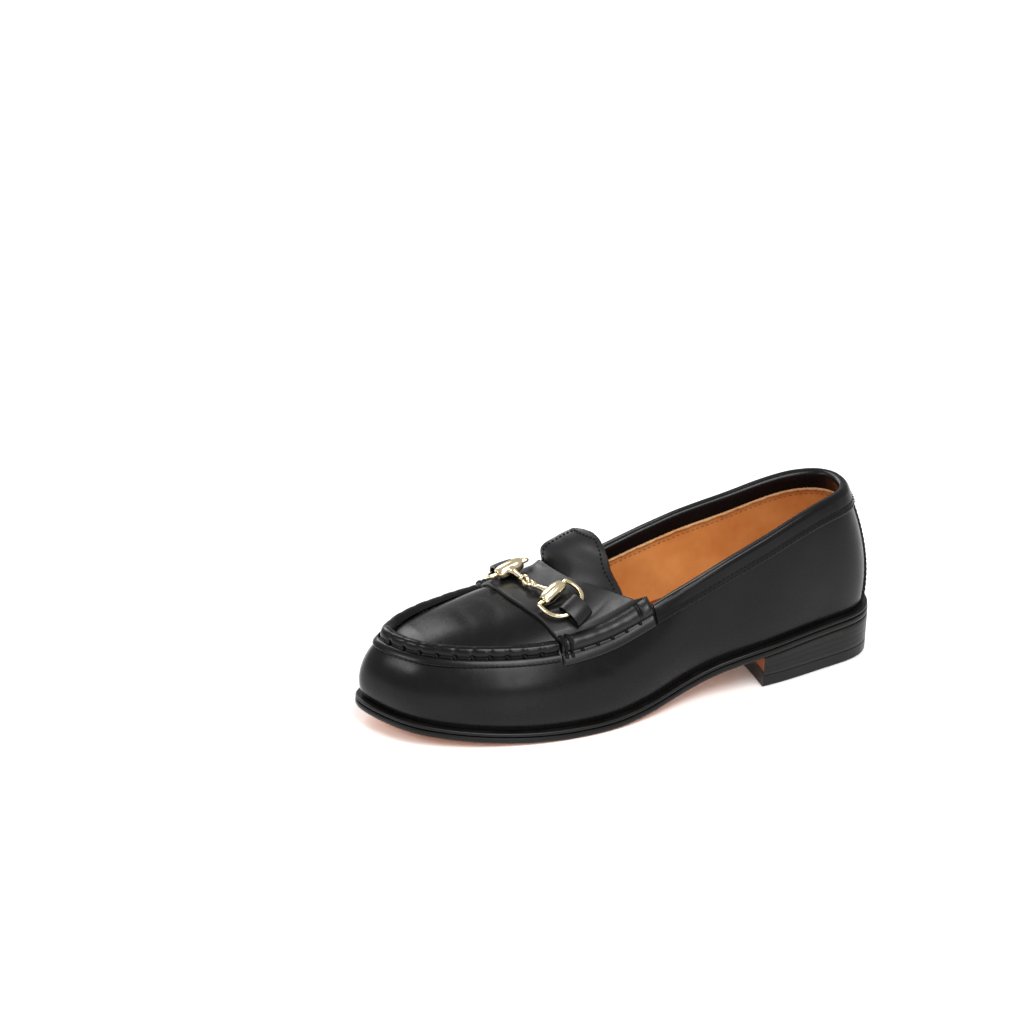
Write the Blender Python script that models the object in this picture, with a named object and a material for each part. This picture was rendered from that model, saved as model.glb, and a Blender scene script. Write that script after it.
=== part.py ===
"""Left bit loafer: sole, hollow upper, saddle strap, tongue and snaffle bit, each as its own solid.

Metres, +Z up, toe towards -Y, outer side of the foot towards +X, standing on its heel and forefoot.
"""
import math

import bmesh
import bpy
import numpy as np
from mathutils import Vector

# Main sizes of the shoe
LENGTH = 0.262
BALL_WIDTH = 0.091
QUARTER_HEIGHT = 0.0605
INSTEP_RISE = 0.0135
HEEL_RISE = 0.0203
TOE_SPRING = 0.0090
HEEL_LENGTH = 0.0686

# Layers of the sole
OUTSOLE_THICK = 0.0032
WELT_THICK = 0.0019
INSOLE_THICK = 0.0034
TOP_LIFT_THICK = 0.0060
WELT_WIDTH = 0.0058
FEATHER_INSET = 0.0035
EDGE_ROUND = 0.0006
HEEL_TAPER = 0.0008
BREAST_DIP = 0.0015

# Leather
WALL = 0.0020
STRAP_THICK = 0.0018
TONGUE_THICK = 0.0021
STAY_THICK = 0.0009
STAY_HALF = 0.30
STAY_FLARE = 0.42
STAY_LOW = 0.02
BINDING_THICK = 0.0011
BINDING_OUTSIDE = 0.0105
BINDING_INSIDE = 0.0085
BEAD_WIDTH = 0.0058
BEAD_HEIGHT = 0.0040
ROLL_WIDTH = 0.0074
ROLL_HEIGHT = 0.0048
KEEPER_THICK = 0.0010
KEEPER_WIDTH = 0.0100

# Bit
RING_WIRE = 0.0011
RING_LENGTH = 0.0205
BARREL_LENGTH = 0.0136
BARREL_RADIUS = 0.0036
ARM_ROOT = 0.0021
ARM_TIP = 0.0013
EYE_RADIUS = 0.0022
EYE_WIRE = 0.00085

# Keeper of each ring: how far it is folded in past the ring's bow and how far out it ends
KEEPER_COLUMNS = ("fold", "end")
KEEPERS = {"lateral": (0.0048, 0.0062), "medial": (0.0045, 0.0052)}

# Barrel of the bit: place along its half length, width as a share of its radius
BARREL_COLUMNS = ("at", "width")
BARREL = (
    (-1.00, 0.72),
    (-0.80, 0.86),
    (-0.35, 1.00),
    (0.35, 1.00),
    (0.80, 0.86),
    (1.00, 0.72),
)

# Clearance between neighbouring flat pieces, and between curved pieces that lie on each other
GAP = 0.0003
LAY = 0.0005

# One row for each station, from the heel back by the outer side to the toe, then back by the inner
# side. Places are shares of LENGTH and BALL_WIDTH. The top edge rises by a share of QUARTER_HEIGHT
# over the sole, and belly and shoulder push the wall out by shares of BALL_WIDTH.
STATION_COLUMNS = ("edge_along", "edge_across", "top_along", "top_across", "top_rise",
                   "belly", "shoulder", "lift")
STATIONS = (
    (0.000, 0.021, 0.056, 0.021, 1.030, 0.038, 0.094, 0.68),
    (0.031, 0.224, 0.074, 0.150, 1.028, 0.040, 0.086, 0.68),
    (0.115, 0.303, 0.139, 0.236, 1.010, 0.045, 0.055, 0.70),
    (0.252, 0.369, 0.260, 0.310, 0.907, 0.055, 0.030, 0.70),
    (0.382, 0.377, 0.386, 0.344, 0.815, 0.060, 0.030, 0.72),
    (0.485, 0.440, 0.483, 0.334, 0.740, 0.060, 0.060, 0.78),
    (0.573, 0.490, 0.569, 0.356, 0.668, 0.060, 0.088, 0.84),
    (0.676, 0.498, 0.670, 0.362, 0.615, 0.058, 0.095, 0.85),
    (0.809, 0.426, 0.796, 0.285, 0.580, 0.058, 0.098, 0.85),
    (0.927, 0.268, 0.886, 0.158, 0.530, 0.055, 0.100, 0.84),
    (0.977, 0.098, 0.922, 0.037, 0.500, 0.055, 0.105, 0.83),
    (1.000, -0.078, 0.937, -0.073, 0.480, 0.055, 0.110, 0.83),
    (0.981, -0.199, 0.927, -0.140, 0.485, 0.055, 0.105, 0.83),
    (0.935, -0.301, 0.897, -0.204, 0.522, 0.055, 0.100, 0.84),
    (0.847, -0.407, 0.828, -0.283, 0.580, 0.055, 0.090, 0.84),
    (0.740, -0.498, 0.727, -0.357, 0.615, 0.055, 0.085, 0.84),
    (0.641, -0.445, 0.632, -0.331, 0.700, 0.060, 0.075, 0.82),
    (0.546, -0.342, 0.542, -0.292, 0.815, 0.070, 0.045, 0.76),
    (0.405, -0.255, 0.405, -0.276, 0.885, 0.070, 0.020, 0.72),
    (0.252, -0.276, 0.255, -0.248, 0.925, 0.060, 0.030, 0.70),
    (0.115, -0.297, 0.135, -0.197, 1.012, 0.045, 0.055, 0.70),
    (0.031, -0.200, 0.072, -0.112, 1.030, 0.040, 0.086, 0.68),
)
TOE_STATION = len(STATIONS) // 2

# Underside of the sole: place as a share of LENGTH, height as a share of HEEL_RISE
SOLE_COLUMNS = ("along", "rise")
SOLE_PROFILE = (
    (0.000, 1.000),
    (0.160, 0.910),
    (0.262, 0.783),
    (0.332, 0.645),
    (0.420, 0.374),
    (0.511, 0.113),
    (0.576, 0.012),
    (0.605, 0.000),
)
FLAT_END = 0.660
SPRING_POWER = 1.75

# Height of the vamp over the straight line between its seams, a row for each section of the top.
# The ridge of the instep lies on the inner side, and the vamp is flatter there than over the toes.
CROWN_COLUMNS = ("station", "rise", "ridge", "power")
CROWN = (
    (5.0, 1.12, 0.60, 2.8),
    (6.0, 1.05, 0.60, 2.9),
    (7.0, 0.87, 0.59, 2.9),
    (8.0, 0.54, 0.56, 2.4),
    (9.0, 0.22, 0.52, 2.1),
    (10.0, 0.055, 0.50, 2.0),
    (11.0, 0.000, 0.50, 2.0),
)

# Rear and front edges of the saddle strap, as stations at shares of the way across
STRAP_COLUMNS = ("across", "rear", "front")
STRAP_EDGES = (
    (0.00, 5.05, 7.00),
    (0.15, 5.50, 7.03),
    (0.35, 5.88, 7.12),
    (0.50, 6.04, 7.15),
    (0.70, 6.06, 7.12),
    (0.86, 5.95, 7.05),
    (1.00, 5.05, 7.00),
)
THROAT_SETBACK = 0.40

# Seam roll: distance from the seam as a share of its width, height as a share of its height.
# Negative distances are on the wall, where the cut lip of the leather lies.
BEAD_COLUMNS = ("distance", "height")
BEAD = (
    (-1.42, 0.30),
    (-1.36, 0.46),
    (-0.78, 0.46),
    (-0.60, 0.22),
    (-0.46, 0.66),
    (-0.20, 0.95),
    (0.06, 1.00),
    (0.32, 0.80),
    (0.48, 0.30),
)

# Free part of the tongue, a row for each section from its root to its tip. Places are shares of
# LENGTH and BALL_WIDTH, heights are shares of QUARTER_HEIGHT above the insole at the same place.
TONGUE_COLUMNS = ("outer_along", "outer_across", "inner_along", "inner_across", "height", "bow", "crown")
TONGUE = (
    (0.543, 0.164, 0.611, -0.228, 1.030, 0.013, 0.028),
    (0.543, 0.114, 0.592, -0.208, 1.129, 0.011, 0.022),
    (0.543, 0.059, 0.574, -0.169, 1.195, 0.008, 0.014),
    (0.544, 0.020, 0.568, -0.143, 1.222, 0.005, 0.008),
    (0.548, -0.036, 0.559, -0.094, 1.240, 0.001, 0.002),
)
TONGUE_FOOT = 0.600

# Hidden root of the tongue: stations ahead of the vamp's rear edge, and its span across
ROOT_COLUMNS = ("ahead", "first", "last")
TONGUE_ROOT = (
    (0.30, 0.20, 0.82),
    (0.03, 0.18, 0.83),
)
TONGUE_SPAN = (0.14, 0.82)

# Where the bit lies on the strap, as a station and a share of the way across for each piece
BIT_COLUMNS = ("station", "across")
BIT_LINK = (6.75, 0.525)
BIT_BARRELS = {"lateral": (6.61, 0.325), "medial": (6.70, 0.755)}
BIT_KEEPERS = {"lateral": (6.47, 0.165), "medial": (6.64, 0.872)}

# Width round the seam in which its roll turns from the wall's direction to the vamp's
SEAM_BLEND = 0.0060

# Stations by which the vamp under the seam roll's inner edge lies back of it round the toe
SEAM_TURN = 0.20

# First station of the vamp and last station of the collar's binding
TOP_START = 5
BINDING_END = 4.94

# Mesh steps
STEPS = 3
WALL_ROWS = 8
TOP_COLUMNS = 12
STRAP_ROWS = 7
STRAP_COLUMNS_WIDE = 9
TONGUE_ACROSS = 10
HEEL_ROWS = 12
RING_CORNERS = 24


def column(table, columns, name):
    """One column of a table, as an array."""
    return np.array([row[columns.index(name)] for row in table], float)


def slopes_closed(knots, values):
    """Slopes of the closed cubic spline through the values."""
    count = len(values)
    steps = np.diff(knots)
    rises = (np.roll(values, -1, axis=0) - values) / steps[:, None]
    matrix = np.zeros((count, count))
    right = np.zeros_like(values)
    for i in range(count):
        before, after = 1.0 / steps[i - 1], 1.0 / steps[i]
        matrix[i, i - 1] += before
        matrix[i, i] += 2.0 * (before + after)
        matrix[i, (i + 1) % count] += after
        right[i] = 3.0 * (rises[i - 1] * before + rises[i] * after)
    return np.linalg.solve(matrix, right)


def hermite(x, x0, x1, y0, y1, m0, m1):
    """Cubic between two knots with given slopes."""
    h = x1 - x0
    u = (x - x0) / h
    a = y0 * (1 + 2 * u) * (1 - u) ** 2 + y1 * u * u * (3 - 2 * u)
    return a + h * (m0 * u * (1 - u) ** 2 + m1 * u * u * (u - 1))


def eased(xs, ys, x):
    """Smooth curve through table values that never overshoots them."""
    rises = np.diff(ys) / np.diff(xs)
    slopes = np.zeros(len(xs))
    for i in range(1, len(xs) - 1):
        if rises[i - 1] * rises[i] > 0:
            slopes[i] = 2 * rises[i - 1] * rises[i] / (rises[i - 1] + rises[i])
    slopes[0] = rises[0]
    slopes[-1] = rises[-1]
    x = min(max(x, xs[0]), xs[-1])
    i = min(int(np.searchsorted(xs, x, side="right")) - 1, len(xs) - 2)
    return hermite(x, xs[i], xs[i + 1], ys[i], ys[i + 1], slopes[i], slopes[i + 1])


def station_knots():
    """Spline parameter of each station, the same for the outer and inner half."""
    places = np.array([row[:2] for row in STATIONS]) * (LENGTH, BALL_WIDTH)
    closed = np.vstack([places, places[:1]])
    steps = np.sqrt(np.hypot(*np.diff(closed, axis=0).T))
    steps = (steps + steps[::-1]) / 2
    return np.concatenate([[0.0], np.cumsum(steps)])


KNOTS = station_knots()
VALUES = np.array(STATIONS, float)
SLOPES = slopes_closed(KNOTS, VALUES)


def at_station(station):
    """All columns of the station table at any station, whole or between two."""
    count = len(STATIONS)
    station = station % count
    i = int(station)
    j = (i + 1) % count
    x = KNOTS[i] + (station - i) * (KNOTS[i + 1] - KNOTS[i])
    return hermite(x, KNOTS[i], KNOTS[i + 1], VALUES[i], VALUES[j], SLOPES[i], SLOPES[j])


def mirror_station(station):
    """The station across the shoe, on its inner side."""
    return len(STATIONS) - station


def sole_height(along):
    """Height of the outsole's underside at a distance from the heel back."""
    share = along / LENGTH
    if share <= SOLE_PROFILE[-1][0]:
        xs = column(SOLE_PROFILE, SOLE_COLUMNS, "along")
        ys = column(SOLE_PROFILE, SOLE_COLUMNS, "rise")
        return HEEL_RISE * max(0.0, eased(xs, ys, share))
    spring = max(0.0, share - FLAT_END) / (1 - FLAT_END)
    return TOE_SPRING * spring ** SPRING_POWER


def place(along, across, height):
    """World point of a place given from the heel back, across and up."""
    return np.array([across, LENGTH / 2 - along, height])


def edge(station, inset=0.0):
    """Plan point of the sole's edge, moved in by an inset, with the outward direction."""
    row = at_station(station)
    before, after = at_station(station - 0.02), at_station(station + 0.02)
    run = (after[:2] - before[:2]) * (LENGTH, BALL_WIDTH)
    run /= np.linalg.norm(run)
    outward = np.array([-run[1], run[0]])
    point = row[:2] * (LENGTH, BALL_WIDTH) - outward * inset
    return point, outward


WELT_BOTTOM = OUTSOLE_THICK + GAP
FEATHER_HEIGHT = WELT_BOTTOM + WELT_THICK + GAP


def wall(station, share):
    """Outer face of the upper's wall, from the feather line (0) to its top edge (1)."""
    row = at_station(station)
    foot, outward = edge(station, FEATHER_INSET)
    low = np.array([*foot, sole_height(foot[0]) + FEATHER_HEIGHT])
    top_along, top_across = row[2] * LENGTH, row[3] * BALL_WIDTH
    rise = row[4] * QUARTER_HEIGHT
    base = sole_height(row[0] * LENGTH) + FEATHER_HEIGHT
    high = np.array([top_along, top_across, base + rise])
    push = np.array([*outward, 0.0]) * BALL_WIDTH
    up = np.array([0.0, 0.0, rise])
    first = low + push * row[5] + up * 0.36
    second = high + push * row[6] - up * (1 - row[7])
    u = share
    mix = low * (1 - u) ** 3 + first * 3 * u * (1 - u) ** 2 + second * 3 * u * u * (1 - u) + high * u ** 3
    return place(*mix)


def crown(station, share):
    """Rise of the vamp over the line between its seams, highest on the instep's ridge."""
    xs = column(CROWN, CROWN_COLUMNS, "station")
    rise, ridge, power = (eased(xs, column(CROWN, CROWN_COLUMNS, name), station)
                          for name in CROWN_COLUMNS[1:])
    side = ridge if share < ridge else 1 - ridge
    return INSTEP_RISE * rise * (1 - min(1.0, abs(share - ridge) / side) ** power)


def top(station, share):
    """Outer face of the plug and vamp, from the outer seam (0) to the inner seam (1)."""
    outer, inner = wall(station, 1.0), wall(mirror_station(station), 1.0)
    point = outer + (inner - outer) * share
    point[2] += crown(station, share)
    return point


def wall_length(station):
    """Length of the wall's section at a station."""
    points = [wall(station, k / 6) for k in range(7)]
    return sum(np.linalg.norm(b - a) for a, b in zip(points, points[1:]))


def inner_wall(station, share):
    """Inner face of the wall. Ahead of the collar its top edge drops to lie under the vamp."""
    here = min(station, mirror_station(station))
    under = min(1.0, max(0.0, STEPS * (here - TOP_START)))
    drop = 0.5 * WALL * under / wall_length(station)
    return raised_wall(station, share * (1 - drop), -WALL)


def inner_top(station, share):
    """Inner face of the plug and vamp."""
    outer, inner = inner_wall(station, 1.0), inner_wall(mirror_station(station), 1.0)
    point = outer + (inner - outer) * share
    point[2] += crown(station, share)
    return point


def normal_of(function, u, v, du, dv, hint):
    """Unit normal of a surface function, turned towards the hint."""
    first = function(u + du, v) - function(u - du, v)
    second = function(u, v + dv) - function(u, v - dv)
    normal = np.cross(first, second)
    normal /= np.linalg.norm(normal)
    return normal if np.dot(normal, hint) > 0 else -normal


def raised_wall(station, share, height):
    """Point over the wall's outer face, or inside it where the height is negative."""
    _, outward = edge(station)
    hint = place(*outward, 0.2) - place(0, 0, 0)
    inner = min(max(share, 0.01), 0.99)
    normal = normal_of(wall, station, inner, 0.05, 0.01, hint)
    return wall(station, share) + normal * height


def raised_top(station, share, height):
    """Point over the vamp's outer face."""
    inner = min(max(share, 0.02), 0.98)
    normal = normal_of(top, min(station, TOE_STATION - 0.12), inner, 0.05, 0.02, (0, 0, 1))
    return top(station, share) + normal * height


def seam_turn(here):
    """Share by which the seam roll is square to the seam: none by the strap, all round the toe."""
    return min(1.0, max(0.0, (here - 7.0) / 2.0))


def seam_inward(station):
    """Level direction from the seam over the vamp."""
    turn = seam_turn(min(station, mirror_station(station)))
    run = wall(station + 0.05, 1.0) - wall(station - 0.05, 1.0)
    square = np.array([run[1], -run[0], 0.0]) / np.hypot(run[0], run[1])
    across = wall(mirror_station(station), 1.0) - wall(station, 1.0)
    across[2] = 0.0
    across /= max(np.linalg.norm(across), 1e-6)
    mixed = across * (1 - turn) + square * turn
    return mixed / np.linalg.norm(mixed)


def raised_skin(station, distance, height):
    """Point over the skin near the seam: on the wall below zero distance, on the vamp above it."""
    here = min(station, mirror_station(station))
    corner, other = wall(station, 1.0), wall(mirror_station(station), 1.0)
    share = min(0.4, max(0.0, distance) / max(np.linalg.norm(other - corner), 1e-6))
    own = share if station < TOE_STATION else 1 - share
    down = 1 + min(0.0, distance) / wall_length(station)
    point = wall(station, down)
    if distance > 0:
        point += seam_inward(station) * distance
        point[2] += crown(here - SEAM_TURN * seam_turn(here), own) + (other[2] - corner[2]) * share
    level = min(max(own, 0.02), 0.98)
    over = normal_of(top, min(here, TOE_STATION - 0.5), level, 0.05, 0.02, (0, 0, 1))
    beside = raised_wall(station, down, 1.0) - wall(station, down)
    turn = min(1.0, max(0.0, distance / SEAM_BLEND + 0.5))
    turn = turn * turn * (3 - 2 * turn)
    normal = beside * (1 - turn) + over * turn
    return point + normal * (height / np.linalg.norm(normal))


def material(name, colour, roughness, metallic=0.0):
    """Principled material of a plain colour."""
    made = bpy.data.materials.new(name)
    made.use_nodes = True
    shader = made.node_tree.nodes["Principled BSDF"]
    shader.inputs["Base Color"].default_value = (*colour, 1.0)
    shader.inputs["Roughness"].default_value = roughness
    shader.inputs["Metallic"].default_value = metallic
    return made


def finish(name, mesh, finish_material):
    """Object of a built mesh, shaded smooth except at its sharp edges."""
    data = bpy.data.meshes.new(name)
    bmesh.ops.remove_doubles(mesh, verts=mesh.verts, dist=1e-5)
    bmesh.ops.dissolve_degenerate(mesh, edges=mesh.edges, dist=1e-6)
    bmesh.ops.recalc_face_normals(mesh, faces=mesh.faces)
    mesh.to_mesh(data)
    mesh.free()
    data.materials.append(finish_material)
    data.shade_smooth()
    data.set_sharp_from_angle(angle=math.radians(40))
    made = bpy.data.objects.new(name, data)
    bpy.context.scene.collection.objects.link(made)
    return made


def add_grid(mesh, rows, closed=False):
    """Faces between rows of points. The last point of each row joins its first where closed."""
    verts = [[mesh.verts.new(point) for point in row] for row in rows]
    count = len(rows[0])
    last = count if closed else count - 1
    for low, high in zip(verts, verts[1:]):
        for i in range(last):
            j = (i + 1) % count
            mesh.faces.new((low[i], low[j], high[j], high[i]))
    return verts


def loft(name, rows, finish_material, ring=False):
    """Closed solid through closed profiles, capped at both ends or joined round a ring."""
    mesh = bmesh.new()
    verts = add_grid(mesh, rows, closed=True)
    if ring:
        count = len(rows[0])
        for i in range(count):
            j = (i + 1) % count
            mesh.faces.new((verts[-1][i], verts[-1][j], verts[0][j], verts[0][i]))
    else:
        mesh.faces.new(verts[0])
        mesh.faces.new(reversed(verts[-1]))
    return finish(name, mesh, finish_material)


def sheet(name, rows, thick, offset, finish_material):
    """Sheet of leather through rows of points, with its thickness from a Solidify modifier."""
    mesh = bmesh.new()
    add_grid(mesh, rows)
    made = finish(name, mesh, finish_material)
    face_up(made)
    thicken(made, thick, offset)
    return made


def face_up(made):
    """Turn a sheet so that its faces point up."""
    up = sum(face.normal.z * face.area for face in made.data.polygons)
    if up < 0:
        made.data.flip_normals()


def thicken(made, thick, offset):
    """Give an open sheet its thickness, inwards for an offset of -1 and outwards for 1."""
    solid = made.modifiers.new("Thickness", "SOLIDIFY")
    solid.thickness = thick
    solid.offset = offset
    solid.use_even_offset = True
    solid.use_quality_normals = True


def stations(first, last, steps=STEPS):
    """Evenly spaced stations with a few steps between two rows of the table."""
    count = max(1, round((last - first) * steps))
    return [first + (last - first) * k / count for k in range(count + 1)]


def plate(name, inset_rows, finish_material, columns=4):
    """Sole layer: its side runs through (inset, height function) rows, with a cap on each face."""
    mesh = bmesh.new()
    count = len(STATIONS) * STEPS

    def rim(station, inset, height):
        point, _ = edge(station, inset)
        return place(*point, height(point[0]))

    side = [[rim(k / STEPS, *row) for k in range(count)] for row in inset_rows]
    add_grid(mesh, side, closed=True)
    for inset, height in (inset_rows[0], inset_rows[-1]):
        rows = []
        for station in stations(0, TOE_STATION):
            outer, _ = edge(station, inset)
            inner, _ = edge(mirror_station(station), inset)
            points = [outer + (inner - outer) * c / columns for c in range(columns + 1)]
            rows.append([place(*point, height(point[0])) for point in points])
        add_grid(mesh, rows)
    return finish(name, mesh, finish_material)


def build_outsole(leather):
    """Outsole with its softened lower edge, flat under the ball and sprung at the toe."""
    def at(rise):
        return lambda along: sole_height(along) + rise
    rows = [(EDGE_ROUND, at(0.0)), (0.0, at(OUTSOLE_THICK * 0.3)), (0.0, at(OUTSOLE_THICK * 0.75)),
            (EDGE_ROUND, at(OUTSOLE_THICK))]
    return plate("outsole", rows, leather)


def build_welt(leather):
    """Narrow welt that shows as the upper band of the sole's edge, open under the insole."""
    profile = ((EDGE_ROUND, 0.0), (0.2 * EDGE_ROUND, 0.5), (EDGE_ROUND, 1.0), (WELT_WIDTH, 1.0),
               (WELT_WIDTH, 0.0))
    rows = []
    for k in range(len(STATIONS) * STEPS):
        row = []
        for inset, share in profile:
            point, _ = edge(k / STEPS, inset)
            row.append(place(*point, sole_height(point[0]) + WELT_BOTTOM + WELT_THICK * share))
        rows.append(row)
    return loft("welt", rows, leather, ring=True)


def build_insole(leather):
    """Insole that lies on the outsole inside the welt and the upper's wall."""
    inset = WELT_WIDTH + GAP

    def at(rise):
        return lambda along: sole_height(along) + OUTSOLE_THICK + GAP + rise
    return plate("insole", [(inset, at(0.0)), (inset, at(INSOLE_THICK))], leather)


def heel_section(along, inset, height):
    """Row of points across the heel at a distance from its back."""
    outer = heel_side(along, 1) - inset
    inner = heel_side(along, -1) + inset
    columns = 4
    row = []
    for c in range(columns + 1):
        share = c / columns
        dip = BREAST_DIP * (along / HEEL_LENGTH) ** 6 * (1 - (2 * share - 1) ** 2)
        row.append(place(along - dip, outer + (inner - outer) * share, height(along)))
    return row


def heel_side(along, side):
    """Across place of the sole's edge at a distance from the heel back."""
    low, high = 0.0, 4.0
    for _ in range(40):
        middle = (low + high) / 2
        here = middle if side > 0 else mirror_station(middle)
        if edge(here)[0][0] < along:
            low = middle
        else:
            high = middle
    return edge(low if side > 0 else mirror_station(low))[0][1]


def build_heel_block(name, low, high, finish_material):
    """Layer of the heel behind the breast, from the inset and height of its two faces."""
    mesh = bmesh.new()
    rims = []
    for inset, height in (low, high):
        rows = []
        for k in range(HEEL_ROWS + 1):
            run = (HEEL_LENGTH - inset) * (1 - math.cos(math.pi / 2 * k / HEEL_ROWS))
            rows.append(heel_section(inset + run, inset, height))
        rows[0] = [sum(rows[0]) / len(rows[0])] * len(rows[0])
        add_grid(mesh, rows)
        rims.append([row[0] for row in rows] + rows[-1][1:-1] + [row[-1] for row in rows[:0:-1]])
    add_grid(mesh, rims, closed=True)
    return finish(name, mesh, finish_material)


def build_heel(leather, rubber):
    """Heel stack under the sole's rear, on a rubber top lift."""
    build_heel_block("heel_stack", (HEEL_TAPER, lambda along: TOP_LIFT_THICK + GAP),
                     (0.0, lambda along: sole_height(along) - GAP), leather)
    build_heel_block("top_lift", (HEEL_TAPER * 1.6, lambda along: 0.0),
                     (HEEL_TAPER, lambda along: TOP_LIFT_THICK), rubber)


def strap_edge(share, name):
    """Station of the saddle strap's rear or front edge at a share of the way across."""
    xs = column(STRAP_EDGES, STRAP_COLUMNS, "across")
    return eased(xs, column(STRAP_EDGES, STRAP_COLUMNS, name), share)


def throat(share):
    """Station of the vamp's rear edge, hidden under the strap."""
    return strap_edge(share, "rear") - 0.05 + THROAT_SETBACK * 4 * share * (1 - share)


def upper_face(mesh, wall_face, top_face):
    """One face of the upper, wall and vamp. Returns its lower rim and its rim round the opening."""
    count = len(STATIONS) * STEPS
    add_grid(mesh, [[wall_face(k / STEPS, row / WALL_ROWS) for k in range(count)]
                    for row in range(WALL_ROWS + 1)], closed=True)
    rows = []
    for station in stations(TOP_START, TOE_STATION):
        left = (TOE_STATION - station) / (TOE_STATION - TOP_START)
        shares = [c / TOP_COLUMNS for c in range(TOP_COLUMNS + 1)]
        rows.append([top_face(station + (throat(share) - TOP_START) * left, share)
                     for share in shares])
    add_grid(mesh, rows)
    low = [wall_face(k / STEPS, 0.0) for k in range(count)]
    collar = [wall_face(station % len(STATIONS), 1.0) for station in stations(-TOP_START, TOP_START)]
    return low, collar + rows[0][1:-1]


def build_upper(leather):
    """Hollow upper with a real wall, open at the collar and underneath."""
    mesh = bmesh.new()
    outer_low, outer_rim = upper_face(mesh, wall, top)
    inner_low, inner_rim = upper_face(mesh, inner_wall, inner_top)
    add_grid(mesh, [outer_low, inner_low], closed=True)
    add_grid(mesh, [outer_rim, inner_rim], closed=True)
    return finish("upper", mesh, leather)


def bead_rows(width, height):
    """Distances and heights of the seam roll over the skin."""
    return [(distance * width, rise * height) for distance, rise in BEAD]


def build_moc_seam(leather):
    """Raised seam roll with its cut lip, round the plug from one end of the strap to the other."""
    rows = []
    first = strap_edge(0.0, "front") + 0.06
    profile = bead_rows(BEAD_WIDTH, BEAD_HEIGHT)
    for station in stations(first, 2 * TOE_STATION - first, 4):
        outer = [raised_skin(station, d, LAY + h) for d, h in profile]
        under = [raised_skin(station, d, LAY) for d, _ in profile[::2]]
        rows.append(outer + under[::-1])
    return loft("moc_seam", rows, leather)


def strap_lines():
    """Lines along the strap: share across, distance from a seam or None, height of the top face."""
    roll = bead_rows(ROLL_WIDTH, ROLL_HEIGHT)
    lines = [(0.0, d, h) for d, h in roll]
    for c in range(STRAP_COLUMNS_WIDE):
        share = 0.5 + ((c + 1) / (STRAP_COLUMNS_WIDE + 1) - 0.5) * 0.86
        lines.append((share, None, STRAP_THICK))
    return lines + [(1.0, d, h) for d, h in reversed(roll)]


def strap_point(line, run, under):
    """Point of the strap on one of its lines, at a share of the run from its front edge."""
    share, distance, height = line
    rear, front = strap_edge(share, "rear"), strap_edge(share, "front")
    station = front + (rear - front) * run
    lift = LAY if under else LAY + height
    if distance is None:
        return raised_top(station, share, lift)
    return raised_skin(station if share < 0.5 else mirror_station(station), distance, lift)


def build_strap(leather):
    """Saddle strap across the instep, rolled over the seam on both sides."""
    mesh = bmesh.new()
    rims = []
    for under in (False, True):
        rows = [[strap_point(line, k / STRAP_ROWS, under) for line in strap_lines()]
                for k in range(STRAP_ROWS + 1)]
        add_grid(mesh, rows)
        rims.append(rows[0] + [row[-1] for row in rows[1:-1]] + rows[-1][::-1]
                    + [row[0] for row in rows[-2:0:-1]])
    add_grid(mesh, rims, closed=True)
    return finish("saddle_strap", mesh, leather)


def across_shares(first, last):
    """Evenly spaced shares across the tongue."""
    return [first + (last - first) * c / TONGUE_ACROSS for c in range(TONGUE_ACROSS + 1)]


def tongue_row(row):
    """Points across one free section of the tongue, bowed forward and crowned."""
    cells = dict(zip(TONGUE_COLUMNS, row))
    outer = np.array([cells["outer_along"] * LENGTH, cells["outer_across"] * BALL_WIDTH])
    inner = np.array([cells["inner_along"] * LENGTH, cells["inner_across"] * BALL_WIDTH])
    base = sole_height(TONGUE_FOOT * LENGTH) + FEATHER_HEIGHT
    points = []
    for share in across_shares(0.0, 1.0):
        arch = 1 - (2 * share - 1) ** 2
        along, across = outer + (inner - outer) * share
        height = base + QUARTER_HEIGHT * (cells["height"] + cells["crown"] * arch)
        points.append(place(along + cells["bow"] * LENGTH * arch, across, height))
    return points


def build_tongue(leather):
    """Tongue: its root lies under the vamp, it rises at the strap's rear edge and stands free."""
    depth = -(WALL + 3 * GAP)
    rows = [[raised_top(throat(share) + ahead, share, depth) for share in across_shares(first, last)]
            for ahead, first, last in TONGUE_ROOT]
    rows.append([raised_top(strap_edge(share, "rear"), share, -GAP)
                 for share in across_shares(*TONGUE_SPAN)])
    rows += [tongue_row(row) for row in TONGUE]
    return sheet("tongue", rows, TONGUE_THICK, -1, leather)


def build_binding(leather):
    """Folded binding over the collar's edge, from one end of the strap round the heel to the other."""
    thick = BINDING_THICK
    over = thick + LAY
    inside = WALL + LAY
    inner = inside + thick
    profile = ((BINDING_OUTSIDE, LAY), (BINDING_OUTSIDE, over), (0.5 * BINDING_OUTSIDE, over),
               (thick, over), (-thick, 0.5 * over), (-1.5 * thick, -0.5 * WALL),
               (-thick, -0.85 * inner), (thick, -inner), (0.5 * BINDING_INSIDE, -inner),
               (BINDING_INSIDE, -inner), (BINDING_INSIDE, -inside), (0.5 * BINDING_INSIDE, -inside),
               (-GAP, -inside), (-GAP, LAY), (0.5 * BINDING_OUTSIDE, LAY))
    rows = []
    for station in stations(-BINDING_END, BINDING_END):
        length = wall_length(station)
        rows.append([raised_wall(station, 1 - down / length, out) for down, out in profile])
    return loft("collar_binding", rows, leather)


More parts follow.
